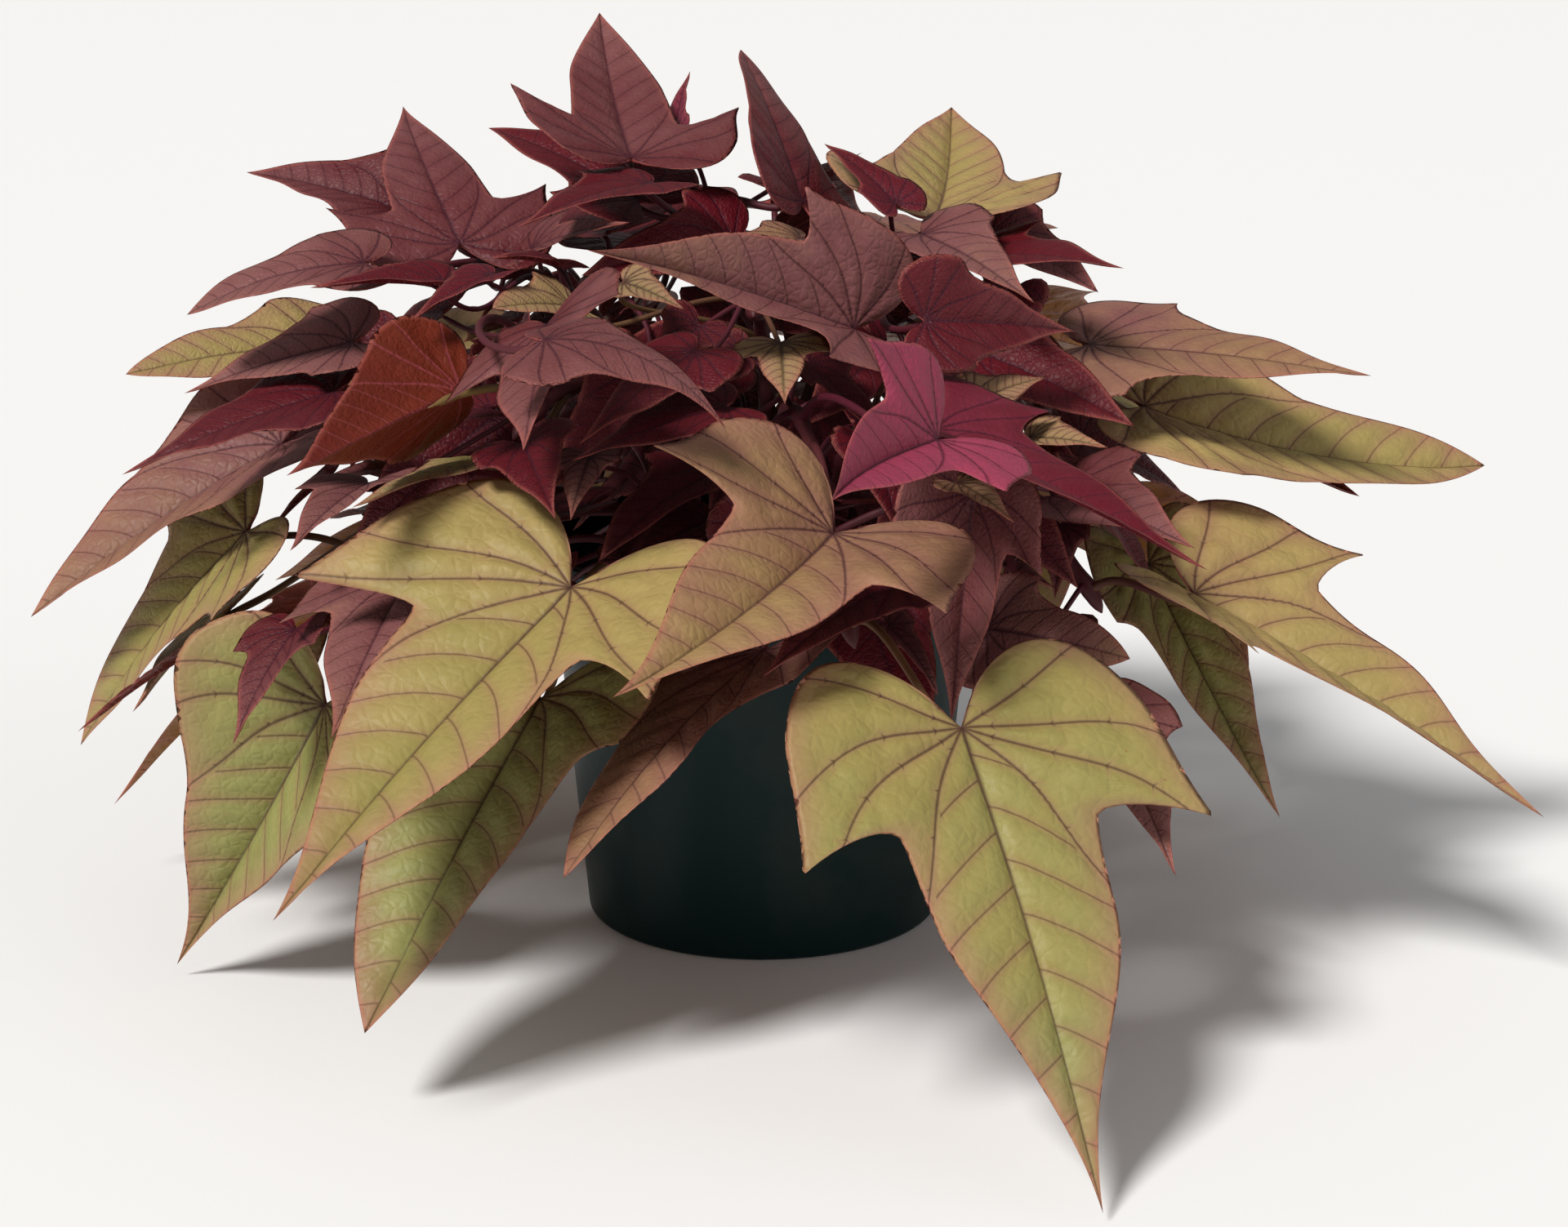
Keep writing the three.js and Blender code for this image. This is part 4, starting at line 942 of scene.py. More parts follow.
def settled(row, corners):
    """The row's blade at the place that its solid has: the small move for which the tip's two corners and
    the side corners of the edge lie on corners of the solid."""
    at, tip, roll = np.asarray(row[0], float), np.asarray(row[1], float), row[2]
    _, normal, across = Blade.axes(at, tip, roll, at)
    moves = np.array(list(product(DEPTHS, LIFTS, PITCHES, SLIDES)), float)
    tips = (tip + unit(at - CAMERA) * moves[:, :1] + normal * (moves[:, 1:2] + moves[:, 2:3])
            + across * moves[:, 3:])
    gaps = np.linalg.norm(tips[:, None] - corners[None], axis=2)
    near = (np.abs(gaps - BLADE / 2) < MATCH).sum(axis=1) >= 2
    marks = np.array([run[0] for run in edge_runs(row[6], row[8])[1:]])
    sides = np.concatenate([marks[:, 0], -marks[:, 0]])
    best, least_miss = None, np.inf
    for (depth, lift, pitch, slide), turn in product(moves[near], TURNS):
        blade = Blade(row, (depth, lift, pitch, turn, slide))
        expected = blade.point(sides, np.tile(marks[:, 1], 2), BLADE / 2)
        miss = np.median(np.linalg.norm(expected[:, None] - corners[None], axis=2).min(axis=1))
        if miss < least_miss:
            best, least_miss = blade, miss
    if best is None or least_miss > MATCH:
        raise RuntimeError(f"no place found for the leaf {row}: {least_miss}")
    return best


def stalk_curve(stem, seat, blade, radius, way):
    """A stalk's centre line: it leaves the stem between the leaf's bearing and upwards, and comes into the
    midrib from below at the way's angle."""
    shift, bow, angle = way
    angle = np.radians(angle)
    root = bezier(stem, [min(max(seat + shift, LOWEST_SEAT), HIGHEST_SEAT)])[0]
    reach = np.linalg.norm(root - blade.at)
    along, normal, _ = Blade.axes(root, blade.at, 0, root)
    rise = root + (along + normal * bow) * STALK_RISE * reach
    arrival = blade.start * np.cos(angle) + blade.normal * np.sin(angle)
    approach = blade.at - arrival * STALK_APPROACH * reach
    end = blade.point(0, STALK_END, BLADE / 3 - 0.5 * radius * np.cos(angle))
    return bezier([root, rise, approach, end], np.linspace(0, 1, STALK_SAMPLES))


def stalk_route(stem, seat, blade, radius, steps, corners):
    """The stalk's line by the way that its solid has: the one with most corners round it, a radius off."""
    best, most_found = None, -1
    for way in product(STALK_SHIFTS, STALK_BOWS, STALK_ANGLES):
        line = stalk_curve(stem, seat, blade, radius, way)
        middle = evenly(line, steps + 1)[1:-1]
        gaps = np.linalg.norm(middle[:, None] - corners[None], axis=2)
        found = (np.abs(gaps - radius) < MATCH).sum()
        if found > most_found:
            best, most_found = line, found
    return best


def back_leaves():
    """The leaves of the far side, tier by tier, each with the stem that lies nearest in bearing. The draws
    come from a multiplying generator, so that they are the same in any language."""
    state = BACK_SEED

    def between(low, high):
        nonlocal state
        state = state * MULTIPLIER % MODULUS
        return low + (high - low) * state / MODULUS

    def about(middle, play):
        return middle + between(-play, play)

    ends = {name: LEAFY_STEMS[name]["path"][2] for name in BACK_STEMS}
    bearings = {name: np.arctan2(y, x) for name, (x, y, _) in ends.items()}
    dealt = {name: [] for name in BACK_STEMS}
    for tier in BACK_TIERS:
        for index in range(tier["count"]):
            angle = np.radians(about(tier["start"] + index * tier["step"], BEARING_PLAY))
            radius = about(tier["radius"], PLACE_PLAY)
            at = np.array([radius * np.cos(angle), radius * np.sin(angle), about(tier["height"], PLACE_PLAY)])
            heading = angle + np.radians(about(0, HEADING_PLAY))
            pitch = np.radians(about(tier["pitch"], PITCH_PLAY))
            length = tier["length"] * between(*LENGTH_SHARES)
            tip = at + length * np.array([np.cos(pitch) * np.cos(heading), np.cos(pitch) * np.sin(heading),
                                          -np.sin(pitch)])
            lobe = min(tier["lobe"] * between(*LOBE_SHARES), 1)
            row = (at, tip, about(0, ROLL_PLAY), between(*BACK_DROOPS), between(*BACK_FOLDS), 1, lobe)
            nearest = min(BACK_STEMS, key=lambda name: abs(bearings[name] - angle))
            tone = tier["tone"] + TONE_SWING * np.sin(TONE_STEP * index + tier["radius"])
            dealt[nearest].append((*row, tone, 0, 0))
    return dealt


class Room:
    """Which small cubes of space are taken, so that young leaves keep clear of everything else."""

    def __init__(self):
        self.taken = np.zeros(ROOM_CELLS, bool)

    def cells(self, points):
        return tuple(np.moveaxis(np.round((points - ROOM_CORNER) / ROOM_CELL).astype(int), -1, 0))

    def take(self, points):
        """Marks the points' cubes and all that touch them."""
        for step in product((-ROOM_CELL, 0, ROOM_CELL), repeat=3):
            self.taken[self.cells(points + np.array(step))] = True

    def free(self, points):
        """Whether no point of each last row of points is taken."""
        return ~self.taken[self.cells(points)].any(axis=-1)


def blade_points(blade, spacing):
    """Points all over a blade, out from its midrib to its edge."""
    shares = np.linspace(0, 1, ROOM_SAMPLES)
    runs = np.concatenate([bezier(run, shares) for run in edge_runs(blade.lobe, blade.full)])
    edge = evenly(runs, int(EDGE_LENGTH * blade.length / spacing) + 2)
    out = np.linspace(0, 1, int(HALF_WIDTH * blade.length / spacing) + 2)[None]
    y = np.clip(edge[:, 1:], 0, 1) * (1 - out) + edge[:, 1:] * out
    return np.concatenate([blade.point(side * edge[:, :1] * out, y) for side in (1, -1)])


def in_dome(points):
    """Whether each last row of points lies inside the mound's dome and above its base there."""
    side, depth = points[..., 0] / DOME_RADII[0], points[..., 1] / DOME_RADII[1]
    rise = np.clip((points[..., 2] - DOME_BASE) / (DOME_TOP - DOME_BASE), 0, None)
    base = np.where(np.hypot(points[..., 0], points[..., 1]) < RIM_RADIUS, DOME_BASE, SIDE_BASE)
    base = np.where(points[..., 1] < -RIM_RADIUS, FRONT_BASE, base)
    return ((side**2 + depth**2 + rise**2 < 1) & (points[..., 2] > base)).all(axis=-1)


def young_leaves(stem, room, draws):
    """Small leaves along a stem where there is room inside the mound, the longest first: each joint stands
    off the stem, and the blade hangs outwards from it. Yields blades, their stalks' lines and tones."""
    low, high = np.array(list(YOUNG_BOUNDS.values())).T
    tries = dict(zip(YOUNG_BOUNDS, draws.uniform(low, high, (YOUNG_TRIES, len(low))).T))
    root = bezier(stem, tries["seat"])
    bearings = np.arctan2(root[:, 1], root[:, 0]) + tries["turn"]
    outward = np.stack([np.cos(bearings), np.sin(bearings), 0 * bearings], axis=-1)
    upwards = np.array([0, 0, 1])
    rise, pitch, reach, length = (tries[name][:, None] for name in ("rise", "pitch", "reach", "length"))
    at = root + reach * (outward * np.cos(rise) + upwards * np.sin(rise))
    tip = at + length * (outward * np.cos(pitch) - upwards * np.sin(pitch))
    chord = at[:, None] + (tip - at)[:, None] * np.linspace(0, 1, CHORD_SAMPLES)[:, None]
    fit = np.flatnonzero(in_dome(chord))
    for index in fit[np.argsort(-tries["length"][fit])]:
        if not room.free(chord[index]):
            continue
        each = {name: values[index] for name, values in tries.items()}
        shape = (each[name] for name in ("roll", "droop", "fold", "width", "lobe"))
        blade = Blade((at[index], tip[index], *shape, 0, each["full"]))
        body = blade_points(blade, ROOM_CELL).reshape(-1, 3)
        if not (in_dome(body) and room.free(body)):
            continue
        way = (0, each["bow"], each["angle"])
        line = stalk_curve(stem, each["seat"], blade, YOUNG_STALK_RADIUS, way)
        away = line[np.linalg.norm(line - line[0], axis=1) > YOUNG_ROOT_ROOM]
        if room.free(away):
            room.take(body)
            room.take(line)
            yield blade, line, each["tone"]


def relief(x, y, size, draw, quilting):
    """Height of the blade's skin in millimetres: it swells between the veins, dips along them and is level
    at the joint and at the tip."""
    midrib, fan, side, branch, faint = vein_distances(x, y, draw)
    main = least(midrib, fan) * size
    swell = 1 - hump(least(main, (least(side, branch) + FAINT_REACH * faint) * size), FIELD_WIDTH)
    height = quilting * (swell - 0.5) * min(size / QUILTED_LENGTH, 1) - VEIN_DIP * hump(main, VEIN_WIDTH)
    return height * share(np.hypot(x, y) / LEVEL_JOINT) * share((1 - y) / LEVEL_TIP)


def add_blade(skin, blade, tone, spacing, draws, settings):
    """Adds a blade's closed skin and returns the height of its underside's midrib at a share of the length.
    Rows run from feet on the midrib out to even steps of the edge. As far as the side lobe they all start
    at the joint, and above it their feet climb the midrib, so that they follow the veins. Columns go out
    over the right half, back underneath, out under the left half and back over it, and the first row and
    the last shrink to the joint and the tip."""
    length = blade.length
    rows = int(np.clip(ROWS * length / spacing, *ROW_BOUNDS))
    columns = int(np.clip(COLUMNS * length / spacing, *COLUMN_BOUNDS))
    draw = draws.uniform(0, TAU)
    quilting = settings.quilting / MM
    quilting *= np.clip(QUILTING_LEAST + QUILTING_BY_TONE * tone, QUILTING_LEAST, 1)
    runs = [bezier(run, np.linspace(0, 1, EDGE_SAMPLES)) for run in edge_runs(blade.lobe, blade.full)]
    edge = evenly(np.concatenate(runs), rows + 1)
    edge[0] = 0
    corner = np.argmin(np.linalg.norm(edge - runs[1][-1], axis=1))
    climb = np.clip((np.arange(rows + 1) - corner) / (rows - corner), 0, 1)[:, None] ** CLIMB_POWER
    out = np.linspace(0, 1, columns + 1)[None]
    x = edge[:, :1] * out
    y = climb * (1 - out) + edge[:, 1:] * out
    ending = np.clip((1 - y) / THIN_TIP, 0, 1)
    crown = CROWNING * length * out * (1 - out) * np.clip(edge[:, :1] / CROWNED_WIDTH, 0, 1)
    half = settings.thickness / MM / 2 * (1 - out**4) * ending
    ridge = MIDRIB_HEIGHT * hump(x * length, MIDRIB_WIDTH) * np.clip(MIDRIB_END - y, 0, 1) * ending
    ridge *= np.clip(rows * (1 - out), 0, 1)
    steps = np.linspace(0, 1, rows + 1)[:, None]
    wave_height = settings.waviness * length * out**2 * np.sin(np.pi * steps)
    sides = []
    for side in (1, -1):
        count, phase = draws.uniform(*WAVE_COUNTS), draws.uniform(0, TAU)
        quilted = relief(side * x, y, length, draw, quilting) * np.clip(QUILTING_FADE * (1 - out), 0, 1)
        middle = quilted + crown + wave_height * np.sin(TAU * count * steps + phase)
        sides.append((middle + half, middle - half - ridge))
    (right_top, right_low), (left_top, left_low) = sides
    there, back = slice(0, columns), slice(columns, 0, -1)
    ring_x = np.concatenate([x[:, there], x[:, back], -x[:, there], -x[:, back]], axis=1)
    ring_y = np.concatenate([y[:, there], y[:, back], y[:, there], y[:, back]], axis=1)
    heights = np.concatenate([right_top[:, there], right_low[:, back], left_low[:, there],
                              left_top[:, back]], axis=1)
    points = blade.point(ring_x, ring_y, heights)
    rim = 1 - np.concatenate([out[:, there], out[:, back], out[:, there], out[:, back]], axis=1)
    reach = np.linalg.norm(edge - np.concatenate([0 * climb, climb], axis=1), axis=1)[:, None]
    slots = np.repeat([UPPER, UNDER, UNDER, UPPER], columns)
    skin.add_grid(points, slots, flat=np.stack([ring_x, ring_y], axis=-1), capped=False, tone=tone,
                  size=length * MM, rim=rim * reach * length * MM, draw=draw)

    def underside(y):
        return relief(0 * y, y, length, draw, quilting) - settings.thickness / MM / 2

    return underside


def add_stalk(skin, blade, line, radius, tone, underside):
    """Adds a leaf's stalk, which thickens a little at both ends and runs out under the midrib."""
    under = np.linspace(*RUNOUT)
    runout = blade.point(0.0, under, underside(under) - RUNOUT_DEPTH * radius)
    sink = runout[0] - line[-1]
    line = line + sink * np.linspace(0, 1, len(line))[:, None] ** SINK_POWER
    path = np.concatenate([line, runout[1:]])
    path = evenly(path, max(int(path_length(path) / STALK_SPACING), STALK_LEAST_RINGS))
    along = np.linspace(0, 1, len(path))
    shape = (1 + STALK_FOOT_SWELL * hump(along, STALK_FOOT_WIDTH)
             + STALK_NECK_SWELL * hump(along - STALK_NECK, STALK_NECK_WIDTH))
    ending = np.clip(RUNOUT_NARROWING * (1 - along), RUNOUT_LEAST, 1)
    radii = radius * shape * (1 - STALK_TAPER * along) * ending
    skin.add_grid(tube(path, radii, STALK_SIDES), STALK, tone=tone, size=radius * MM)


def add_stem(skin, stem, roots):
    """Adds a stem from its foot in the soil, thinner towards its end and swollen where stalks leave it."""
    foot = np.array([[*stem[0][:2], STEM_FOOT]], float)
    path = np.concatenate([foot, bezier(stem, np.linspace(0, 1, STEM_SAMPLES))])
    path = evenly(path, int(path_length(path) / STEM_SPACING))
    along = np.linspace(0, 1, len(path))
    radii = STEM_RADIUS * (STEM_START - STEM_TAPER * along)
    for root in roots:
        radii += NODE_SWELL * hump(np.linalg.norm(path - root, axis=1), NODE_WIDTH)
    radii *= np.sqrt(np.clip((1 - along) * path_length(path) / STEM_END, STEM_END_LEAST, 1))
    skin.add_grid(tube(path, radii, STEM_SIDES), STALK, tone=STEM_TONE, size=STEM_RADIUS * MM)


def node_corners(node):
    """The corners of a solid, in millimetres."""
    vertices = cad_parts[node].data.vertices
    flat = np.empty(3 * len(vertices), np.float32)
    vertices.foreach_get("co", flat)
    return flat.reshape(-1, 3).astype(float) / MM


def grown(name, leaves):
    """A leafy stem's curve and its leaves as their solids have them: blade, stalk radius, line and tone."""
    corners = node_corners("leafy_stem_" + name)
    stem = stem_curve(name)
    found = []
    for index, (*row, tone, sweep, full) in enumerate(leaves):
        blade = settled((*row, sweep, full), corners)
        radius, steps = STALK_RADIUS, STALK_STEPS
        if blade.length <= MEDIUM:
            radius, steps = YOUNG_STALK_RADIUS, YOUNG_STALK_STEPS
        line = stalk_route(stem, 1 - LEAFY_SHARE * index / len(leaves), blade, radius, steps, corners)
        found.append((blade, radius, line, tone))
    return found


def stem_curve(name):
    spec = LEAFY_STEMS[name]
    return [(*spec["foot"], STEM_GROUND), *spec["path"]]


def room_between(plant):
    """The room that the pot, all stems and grown leaves leave."""
    room = Room()
    turns = np.arange(0, TAU, ROOM_CELL / RIM_RADIUS)[:, None]
    heights = np.arange(0, POT_HEIGHT, ROOM_CELL)[None]
    wall = np.broadcast_arrays(RIM_RADIUS * np.cos(turns), RIM_RADIUS * np.sin(turns), heights)
    room.take(np.stack(wall, axis=-1))
    for name, leaves in plant.items():
        room.take(bezier(stem_curve(name), np.linspace(0, 1, ROOM_STEM_SAMPLES)))
        for blade, _, line, _ in leaves:
            room.take(blade_points(blade, ROOM_CELL / ROOM_FINENESS))
            room.take(line)
    return room


def leafy_stem(name, leaves, room, settings, materials, draws):
    """One leafy stem with its stalks and blades, in place of its solid."""
    stem = stem_curve(name)
    skin = Skin()
    roots = []
    fresh = [(blade, YOUNG_STALK_RADIUS, line, tone) for blade, line, tone in young_leaves(stem, room, draws)]
    for number, (blade, radius, line, tone) in enumerate(leaves + fresh):
        spacing = settings.spacing / MM * (1 if number < len(leaves) else YOUNG_COARSENESS)
        underside = add_blade(skin, blade, tone, spacing, draws, settings)
        add_stalk(skin, blade, line, radius, tone, underside)
        roots.append(line[0])
    add_stem(skin, stem, roots)
    piece = skin.piece("foliage_" + name, materials)
    stand_for(piece, "leafy_stem_" + name, LEAFY_STEMS[name]["slot"])


def stand_for(piece, node, slot):
    """Puts a piece under the root body in place of a node, whose solid is hidden."""
    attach(piece, "root")
    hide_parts(node)


# Pot and soil ------------------------------------------------------------------------------------------


def softened(profile, radius):
    """A profile with each corner rounded: a quadratic curve between points that lie the radius, or less
    than half of the run, before and after it."""
    profile = np.asarray(profile, float)
    rounded = [profile[:1]]
    at = np.linspace(0, 1, ROUNDING_STEPS + 1)[:, None]
    for before, corner, after in zip(profile[:-2], profile[1:-1], profile[2:]):
        back, forth = before - corner, after - corner
        start = corner + back * min(radius / np.linalg.norm(back), ROUNDED_SHARE)
        end = corner + forth * min(radius / np.linalg.norm(forth), ROUNDED_SHARE)
        rounded.append((1 - at) ** 2 * start + 2 * at * (1 - at) * corner + at**2 * end)
    return np.concatenate([*rounded, profile[-1:]])


def lathe(profile, sides):
    """A profile of radii and heights turned about the axis: a grid of profile points by sides."""
    angles = TAU * np.arange(sides) / sides
    radius, height = profile[:, :1], profile[:, 1:]
    return np.stack([radius * np.cos(angles), radius * np.sin(angles), height + 0 * angles], axis=-1)


def pot_profile(settings):
    """The shell's profile, from the middle of its underside out, up, over the rim and down to the floor."""
    wall = settings.wall / MM
    shoulder = POT_HEIGHT - RIM_DEPTH
    floor = FOOT_LIFT + wall
    return [
        (0, 0), (HUB_RADIUS, 0), (HUB_RADIUS + FOOT_BEVEL, FOOT_LIFT),
        (POT_BASE_RADIUS - FOOT_WIDTH, FOOT_LIFT), (POT_BASE_RADIUS - FOOT_WIDTH + FOOT_BEVEL, 0),
        (POT_BASE_RADIUS - FOOT_BEVEL, 0), (POT_BASE_RADIUS, FOOT_BEVEL),
        (POT_TOP_RADIUS, shoulder), (RIM_RADIUS, shoulder + FOOT_BEVEL),
        (RIM_RADIUS + RIM_FLARE, POT_HEIGHT - LIP_HEIGHT - LIP_BEVEL),
        (RIM_RADIUS + LIP, POT_HEIGHT - LIP_HEIGHT), (RIM_RADIUS + LIP, POT_HEIGHT),
        (RIM_RADIUS - wall, POT_HEIGHT), (RIM_RADIUS - wall - RIM_DRAFT, shoulder + INNER_LEDGE),
        (POT_TOP_RADIUS - wall, shoulder),
        (POT_BASE_RADIUS + SLOPE * floor - wall, floor), (0, floor),
    ]


def make_pot(settings):
    """The pot's turned shell, with its drain holes cut out."""
    skin = Skin()
    skin.add_grid(lathe(softened(pot_profile(settings), POT_ROUNDING), POT_SIDES), 0, capped=False)
    pot = skin.piece("pot_shell", [plain_shading("pot_plastic", pot_colour(settings))])
    holes = Skin()
    for index in range(DRAIN_COUNT):
        angle = TAU * index / DRAIN_COUNT
        centre = DRAIN_RING * np.array([np.cos(angle), np.sin(angle)])
        path = np.array([[*centre, DRAIN_FROM], [*centre, FOOT_LIFT + DRAIN_PAST]])
        holes.add_grid(tube(path, [DRAIN_RADIUS] * 2, DRAIN_SIDES), 0)
    cutter = holes.piece("holes", [])
    cut = pot.modifiers.new("drain", "BOOLEAN")
    cut.operation = "DIFFERENCE"
    cut.object = cutter
    shape = bpy.data.meshes.new_from_object(pot.evaluated_get(bpy.context.evaluated_depsgraph_get()))
    pot.modifiers.clear()
    pot.data = shape
    bpy.data.objects.remove(cutter)
    stand_for(pot, "pot", "pot_plastic")


def pot_colour(settings):
    """Dull dark plastic, paler where it is scuffed and dusty."""

    def colouring(shading, cloud, grain):
        dust = share((cloud - DUST_FROM) * DUST_SHARPNESS) * (1.0 - DUST_GRAIN + DUST_GRAIN * grain)
        return shading.mix(dust * DUST_STRENGTH, linear(settings.colour), linear(settings.dust))

    return colouring


def value_noise(x, y, cell, draws):
    """Smooth noise between -1 and 1 from random values on a lattice, blended by the smoothstep of the place
    within a cell."""
    values = draws.uniform(-1, 1, (NOISE_CELLS, NOISE_CELLS))
    column, row = np.floor(x / cell).astype(int), np.floor(y / cell).astype(int)
    across, up = x / cell - column, y / cell - row
    across, up = across**2 * (3 - 2 * across), up**2 * (3 - 2 * up)
    low, high = (values[line % NOISE_CELLS, column % NOISE_CELLS] * (1 - across)
                 + values[line % NOISE_CELLS, (column + 1) % NOISE_CELLS] * across for line in (row, row + 1))
    return low * (1 - up) + high * up


def mound_height(radius):
    """Height of the soil's low mound in millimetres, at a share of its radius."""
    return SOIL_CROWN - (SOIL_CROWN - SOIL_EDGE) * radius**2


def soil_height(x, y, draws):
    """Height of the crumbled soil in millimetres: a low mound and three sizes of lumps."""
    lumps = sum(size * value_noise(x, y, cell, draws) for size, cell in CRUMBS)
    radius = np.hypot(x, y) / INNER_RADIUS
    return mound_height(radius) + lumps * np.clip(CRUMB_FADE * (1 - radius), CRUMBS_AT_WALL, 1)


def soil_lump(draws):
    """A flattened ball of random half sizes, dented by a sine of its own width and turned at random."""
    polar = np.linspace(0, np.pi, LUMP_RINGS)[:, None]
    turn = TAU * np.arange(LUMP_SIDES) / LUMP_SIDES
    ball = np.stack([np.sin(polar) * np.cos(turn), np.sin(polar) * np.sin(turn), np.cos(polar) + 0 * turn],
                    axis=-1)
    size = draws.uniform(*LUMP_SIZES, 3) * LUMP_FLATNESS
    dents = np.sin(DENT_WAVES * ball[..., :1] * draws.uniform(*DENT_SHARES) + draws.uniform(0, TAU))
    x, y, z = np.moveaxis(ball * size * (1 + LUMP_DENTS * dents), -1, 0)
    spin = draws.uniform(0, TAU)
    return np.stack([x * np.cos(spin) - y * np.sin(spin), x * np.sin(spin) + y * np.cos(spin), z], axis=-1)


def make_soil(settings):
    """The soil: a turned block whose top is crumbled, with loose lumps and grains of bark lying on it."""
    floor = FOOT_LIFT + POT_WALL + GAP
    bottom = POT_BASE_RADIUS + SLOPE * floor - POT_WALL - GAP
    block = lathe(np.array([(0, floor), (bottom, floor), (INNER_RADIUS, SOIL_EDGE)]), SOIL_SIDES)
    rings = np.stack([np.linspace(INNER_RADIUS, 0, SOIL_RINGS), np.zeros(SOIL_RINGS)], axis=1)[1:]
    top = lathe(rings, SOIL_SIDES)
    top[..., 2] = soil_height(top[..., 0], top[..., 1], np.random.default_rng(settings.seed))
    top[-1, :, 2] = top[-1, 0, 2]
    skin = Skin()
    skin.add_grid(np.concatenate([block, top]), 0, capped=False, tone=SOIL_TONE)
    draws = np.random.default_rng(settings.seed)
    for _ in range(settings.lumps):
        radius, angle = LUMP_SPREAD * np.sqrt(draws.uniform()), draws.uniform(0, TAU)
        lump = soil_lump(draws)
        place = (INNER_RADIUS * radius * np.cos(angle), INNER_RADIUS * radius * np.sin(angle),
                 mound_height(radius) + draws.uniform(*LUMP_LIFTS))
        skin.add_grid(lump + place, 0, capped=False, tone=draws.uniform())
    soil = skin.piece("soil_mound", [plain_shading("potting_soil", soil_colour(settings))])
    stand_for(soil, "soil", "potting_soil")


def soil_colour(settings):
    """Moist peat, darker and paler in clouds at random, with fibres and grains of every brown."""

    def colouring(shading, cloud, grain):
        tone = shading.attribute("tone")
        stops = [(0.0, DARK_SOIL), (SOIL_MIDDLE, settings.colour), (1.0, BARK)]
        place = SOIL_LEAST + SOIL_NOISE * cloud * grain + SOIL_BY_TONE * tone * tone
        return shading.ramp(stops, share(place))

    return colouring


# Stage -------------------------------------------------------------------------------------------------


def floor_colour(settings):
    """Even pale paint, barely clouded."""
    floor, clouded = linear(settings.floor_colour), linear(FLOOR_CLOUD)
    return lambda shading, cloud, grain: shading.mix(cloud * FLOOR_CLOUDING, floor, clouded)


def make_floor(settings):
    half = settings.floor_size / 2
    mesh = bpy.data.meshes.new("floor")
    corners = [(-half, -half, 0), (half, -half, 0), (half, half, 0), (-half, half, 0)]
    mesh.from_pydata(corners, [], [(0, 1, 2, 3)])
    mesh.materials.append(plain_shading("studio_floor", floor_colour(settings)))
    return placed("floor", mesh)


def make_sun(name, place, width, colour, power):
    """A wide, even light that falls on the plant from the side of `place`. Its width is in degrees."""
    data = bpy.data.lights.new(name, "SUN")
    data.angle = np.radians(width)
    data.energy = power
    data.color = colour
    sun = placed(name, data)
    sun.location = place
    sun.rotation_euler = (Vector(LIGHT_TARGET) - Vector(place)).to_track_quat("-Z", "Y").to_euler()
    return sun


def make_world(settings):
    world = bpy.data.worlds.new("studio")
    world.use_nodes = True
    background = world.node_tree.nodes["Background"]
    background.inputs["Color"].default_value = (*settings.sky_colour, 1)
    background.inputs["Strength"].default_value = settings.sky
    bpy.context.scene.world = world


def make_camera():
    """The camera stands level with the plant's middle line, in front, and looks down on it."""
    data = bpy.data.cameras.new("camera")
    data.sensor_width = SENSOR_WIDTH
    data.lens = SENSOR_WIDTH * FOCAL_SHARE
    data.clip_start = CLIP_START
    camera = placed("camera", data)
    camera.location = Vector(CAMERA) * MM
    camera.rotation_euler = (np.radians(90 - CAMERA_DEPRESSION), 0, 0)
    bpy.context.scene.camera = camera
    return camera


# Add-on ------------------------------------------------------------------------------------------------


def length_property(name, description, default, lowest):
    return FloatProperty(name=name, description=description, default=default, min=lowest,
                         subtype="DISTANCE", unit="LENGTH")


def colour_property(name, description, *default):
    return FloatVectorProperty(name=name, description=description, default=default, min=0, max=1,
                               subtype="COLOR")


def number_property(kind, name, description, default, **limits):
    return kind(name=name, description=description, default=default, min=0, **limits)


class FoliageSettings(bpy.types.PropertyGroup):
    spacing: length_property("Mesh spacing", "Distance between points of a leaf's skin", 0.0015, 0.0005)
    thickness: length_property("Thickness", "Thickness of a leaf in its middle", 0.0005, 0.0001)
    quilting: length_property("Quilting", "How far a leaf swells between its veins", 0.0011, 0)
    waviness: number_property(FloatProperty, "Waviness", "Height of the edge's waves, as a share of the leaf",
                              0.012, max=0.1, subtype="FACTOR")
    seed: number_property(IntProperty, "Seed", "Start of the random draws of waves and young leaves", 7)
    vein: colour_property("Vein colour", "Colour of the vein lines of the upper side", 0.22, 0.06, 0.12)
    under_vein: colour_property("Underside vein colour", "Colour of the vein lines of the underside",
                                0.55, 0.24, 0.26)
    flush: colour_property("Flush colour", "Colour along the veins and the edge", 0.64, 0.45, 0.38)
    rim: colour_property("Rim colour", "Colour towards which the leaf's edge turns", 0.70, 0.38, 0.34)


class PotSettings(bpy.types.PropertyGroup):
    colour: colour_property("Colour", "Colour of the pot's plastic", 0.02, 0.13, 0.13)
    dust: colour_property("Dust", "Colour of dust and dried splashes on the pot", 0.36, 0.34, 0.28)
    wall: length_property("Wall", "Thickness of the pot's wall", POT_WALL * MM, 0.0005)


class SoilSettings(bpy.types.PropertyGroup):
    colour: colour_property("Colour", "Colour of the moist soil", 0.24, 0.17, 0.12)
    lumps: number_property(IntProperty, "Lumps", "Number of loose lumps on the soil", 420)
    seed: number_property(IntProperty, "Seed", "Start of the random draws of the soil", 11)


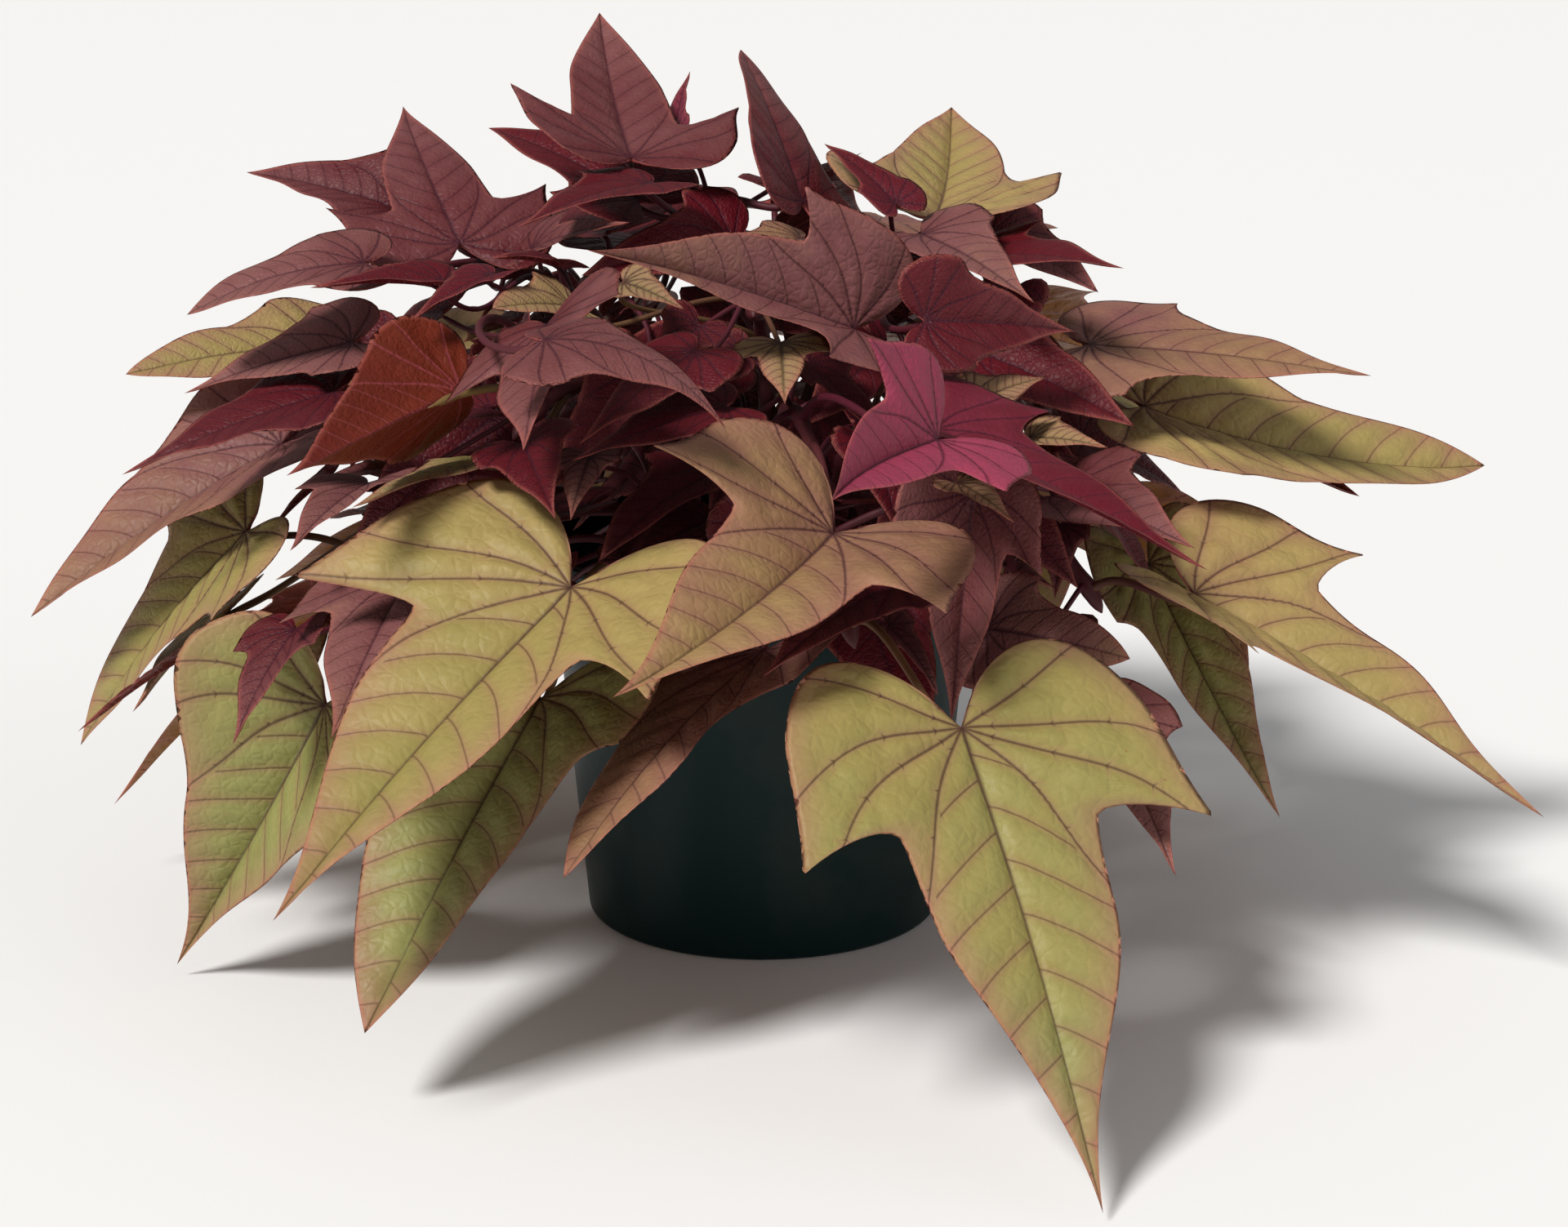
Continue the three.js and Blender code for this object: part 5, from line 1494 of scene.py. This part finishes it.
class StudioSettings(bpy.types.PropertyGroup):
    floor_size: length_property("Floor size", "Side of the square floor", 24.0, 1)
    floor_colour: colour_property("Floor colour", "Colour of the floor", 0.97, 0.97, 0.97)
    sky_colour: colour_property("Sky colour", "Colour of the light from all round", 1.0, 1.0, 1.0)
    sky: number_property(FloatProperty, "Sky", "Strength of the light from all round", 0.25)
    key: number_property(FloatProperty, "Key", "Strength of the key light in watts per square metre", 3.2)
    fill: number_property(FloatProperty, "Fill", "Strength of the fill light in watts per square metre", 0.35)


class VINE_OT_foliage(bpy.types.Operator):
    """Builds the leafy stems around their solids"""

    bl_idname = "vine.foliage"
    bl_label = "Leafy stems"

    def execute(self, context):
        settings = context.scene.vine_foliage
        materials = [leaf_shading("leaf_upper", UPPER_COLOURS, False, settings),
                     leaf_shading("leaf_under", UNDER_COLOURS, True, settings),
                     plain_shading("stalk_skin", stalk_colour)]
        draws = np.random.default_rng(settings.seed)
        dealt = back_leaves()
        plant = {name: grown(name, [(*row, 0, 0)[:10] for row in spec["leaves"]] + dealt.get(name, []))
                 for name, spec in LEAFY_STEMS.items()}
        room = room_between(plant)
        for name, leaves in plant.items():
            leafy_stem(name, leaves, room, settings, materials, draws)
        return {"FINISHED"}


class VINE_OT_pot(bpy.types.Operator):
    """Builds the nursery pot"""

    bl_idname = "vine.pot"
    bl_label = "Pot"

    def execute(self, context):
        make_pot(context.scene.vine_pot)
        return {"FINISHED"}


class VINE_OT_soil(bpy.types.Operator):
    """Builds the soil that fills the pot"""

    bl_idname = "vine.soil"
    bl_label = "Soil"

    def execute(self, context):
        make_soil(context.scene.vine_soil)
        return {"FINISHED"}


class VINE_OT_studio(bpy.types.Operator):
    """Builds the floor, lamps and camera"""

    bl_idname = "vine.studio"
    bl_label = "Studio"

    def execute(self, context):
        settings = context.scene.vine_studio
        key = make_sun("key", *KEY_SUN, settings.key)
        fill = make_sun("fill", *FILL_SUN, settings.fill)
        make_world(settings)
        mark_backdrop(make_floor(settings), key, fill, make_camera())
        context.scene.view_settings.view_transform = "Standard"
        return {"FINISHED"}


class VINE_PT_panel(bpy.types.Panel):
    """Settings and buttons of the potted vine"""

    bl_idname = "VINE_PT_panel"
    bl_label = "Potted vine"
    bl_space_type = "VIEW_3D"
    bl_region_type = "UI"
    bl_category = "Vine"

    def draw(self, context):
        for group, operator in zip(SETTINGS, OPERATORS):
            box = self.layout.box()
            box.operator(operator.bl_idname)
            settings = getattr(context.scene, group)
            for name in SETTINGS[group].__annotations__:
                box.prop(settings, name)


OPERATORS = (VINE_OT_foliage, VINE_OT_pot, VINE_OT_soil, VINE_OT_studio)
SETTINGS = {"vine_foliage": FoliageSettings, "vine_pot": PotSettings, "vine_soil": SoilSettings,
            "vine_studio": StudioSettings}


def register():
    for cls in (*SETTINGS.values(), *OPERATORS, VINE_PT_panel):
        bpy.utils.register_class(cls)
    for name, group in SETTINGS.items():
        setattr(bpy.types.Scene, name, PointerProperty(type=group))


def unregister():
    for name in SETTINGS:
        delattr(bpy.types.Scene, name)
    for cls in reversed((*SETTINGS.values(), *OPERATORS, VINE_PT_panel)):
        bpy.utils.unregister_class(cls)


def main():
    register()
    bpy.ops.vine.foliage()
    bpy.ops.vine.pot()
    bpy.ops.vine.soil()
    bpy.ops.vine.studio()
    corners = [list(corner) for corner in (*SOLID_BOX, *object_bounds())]


if __name__ == "__main__":
    main()
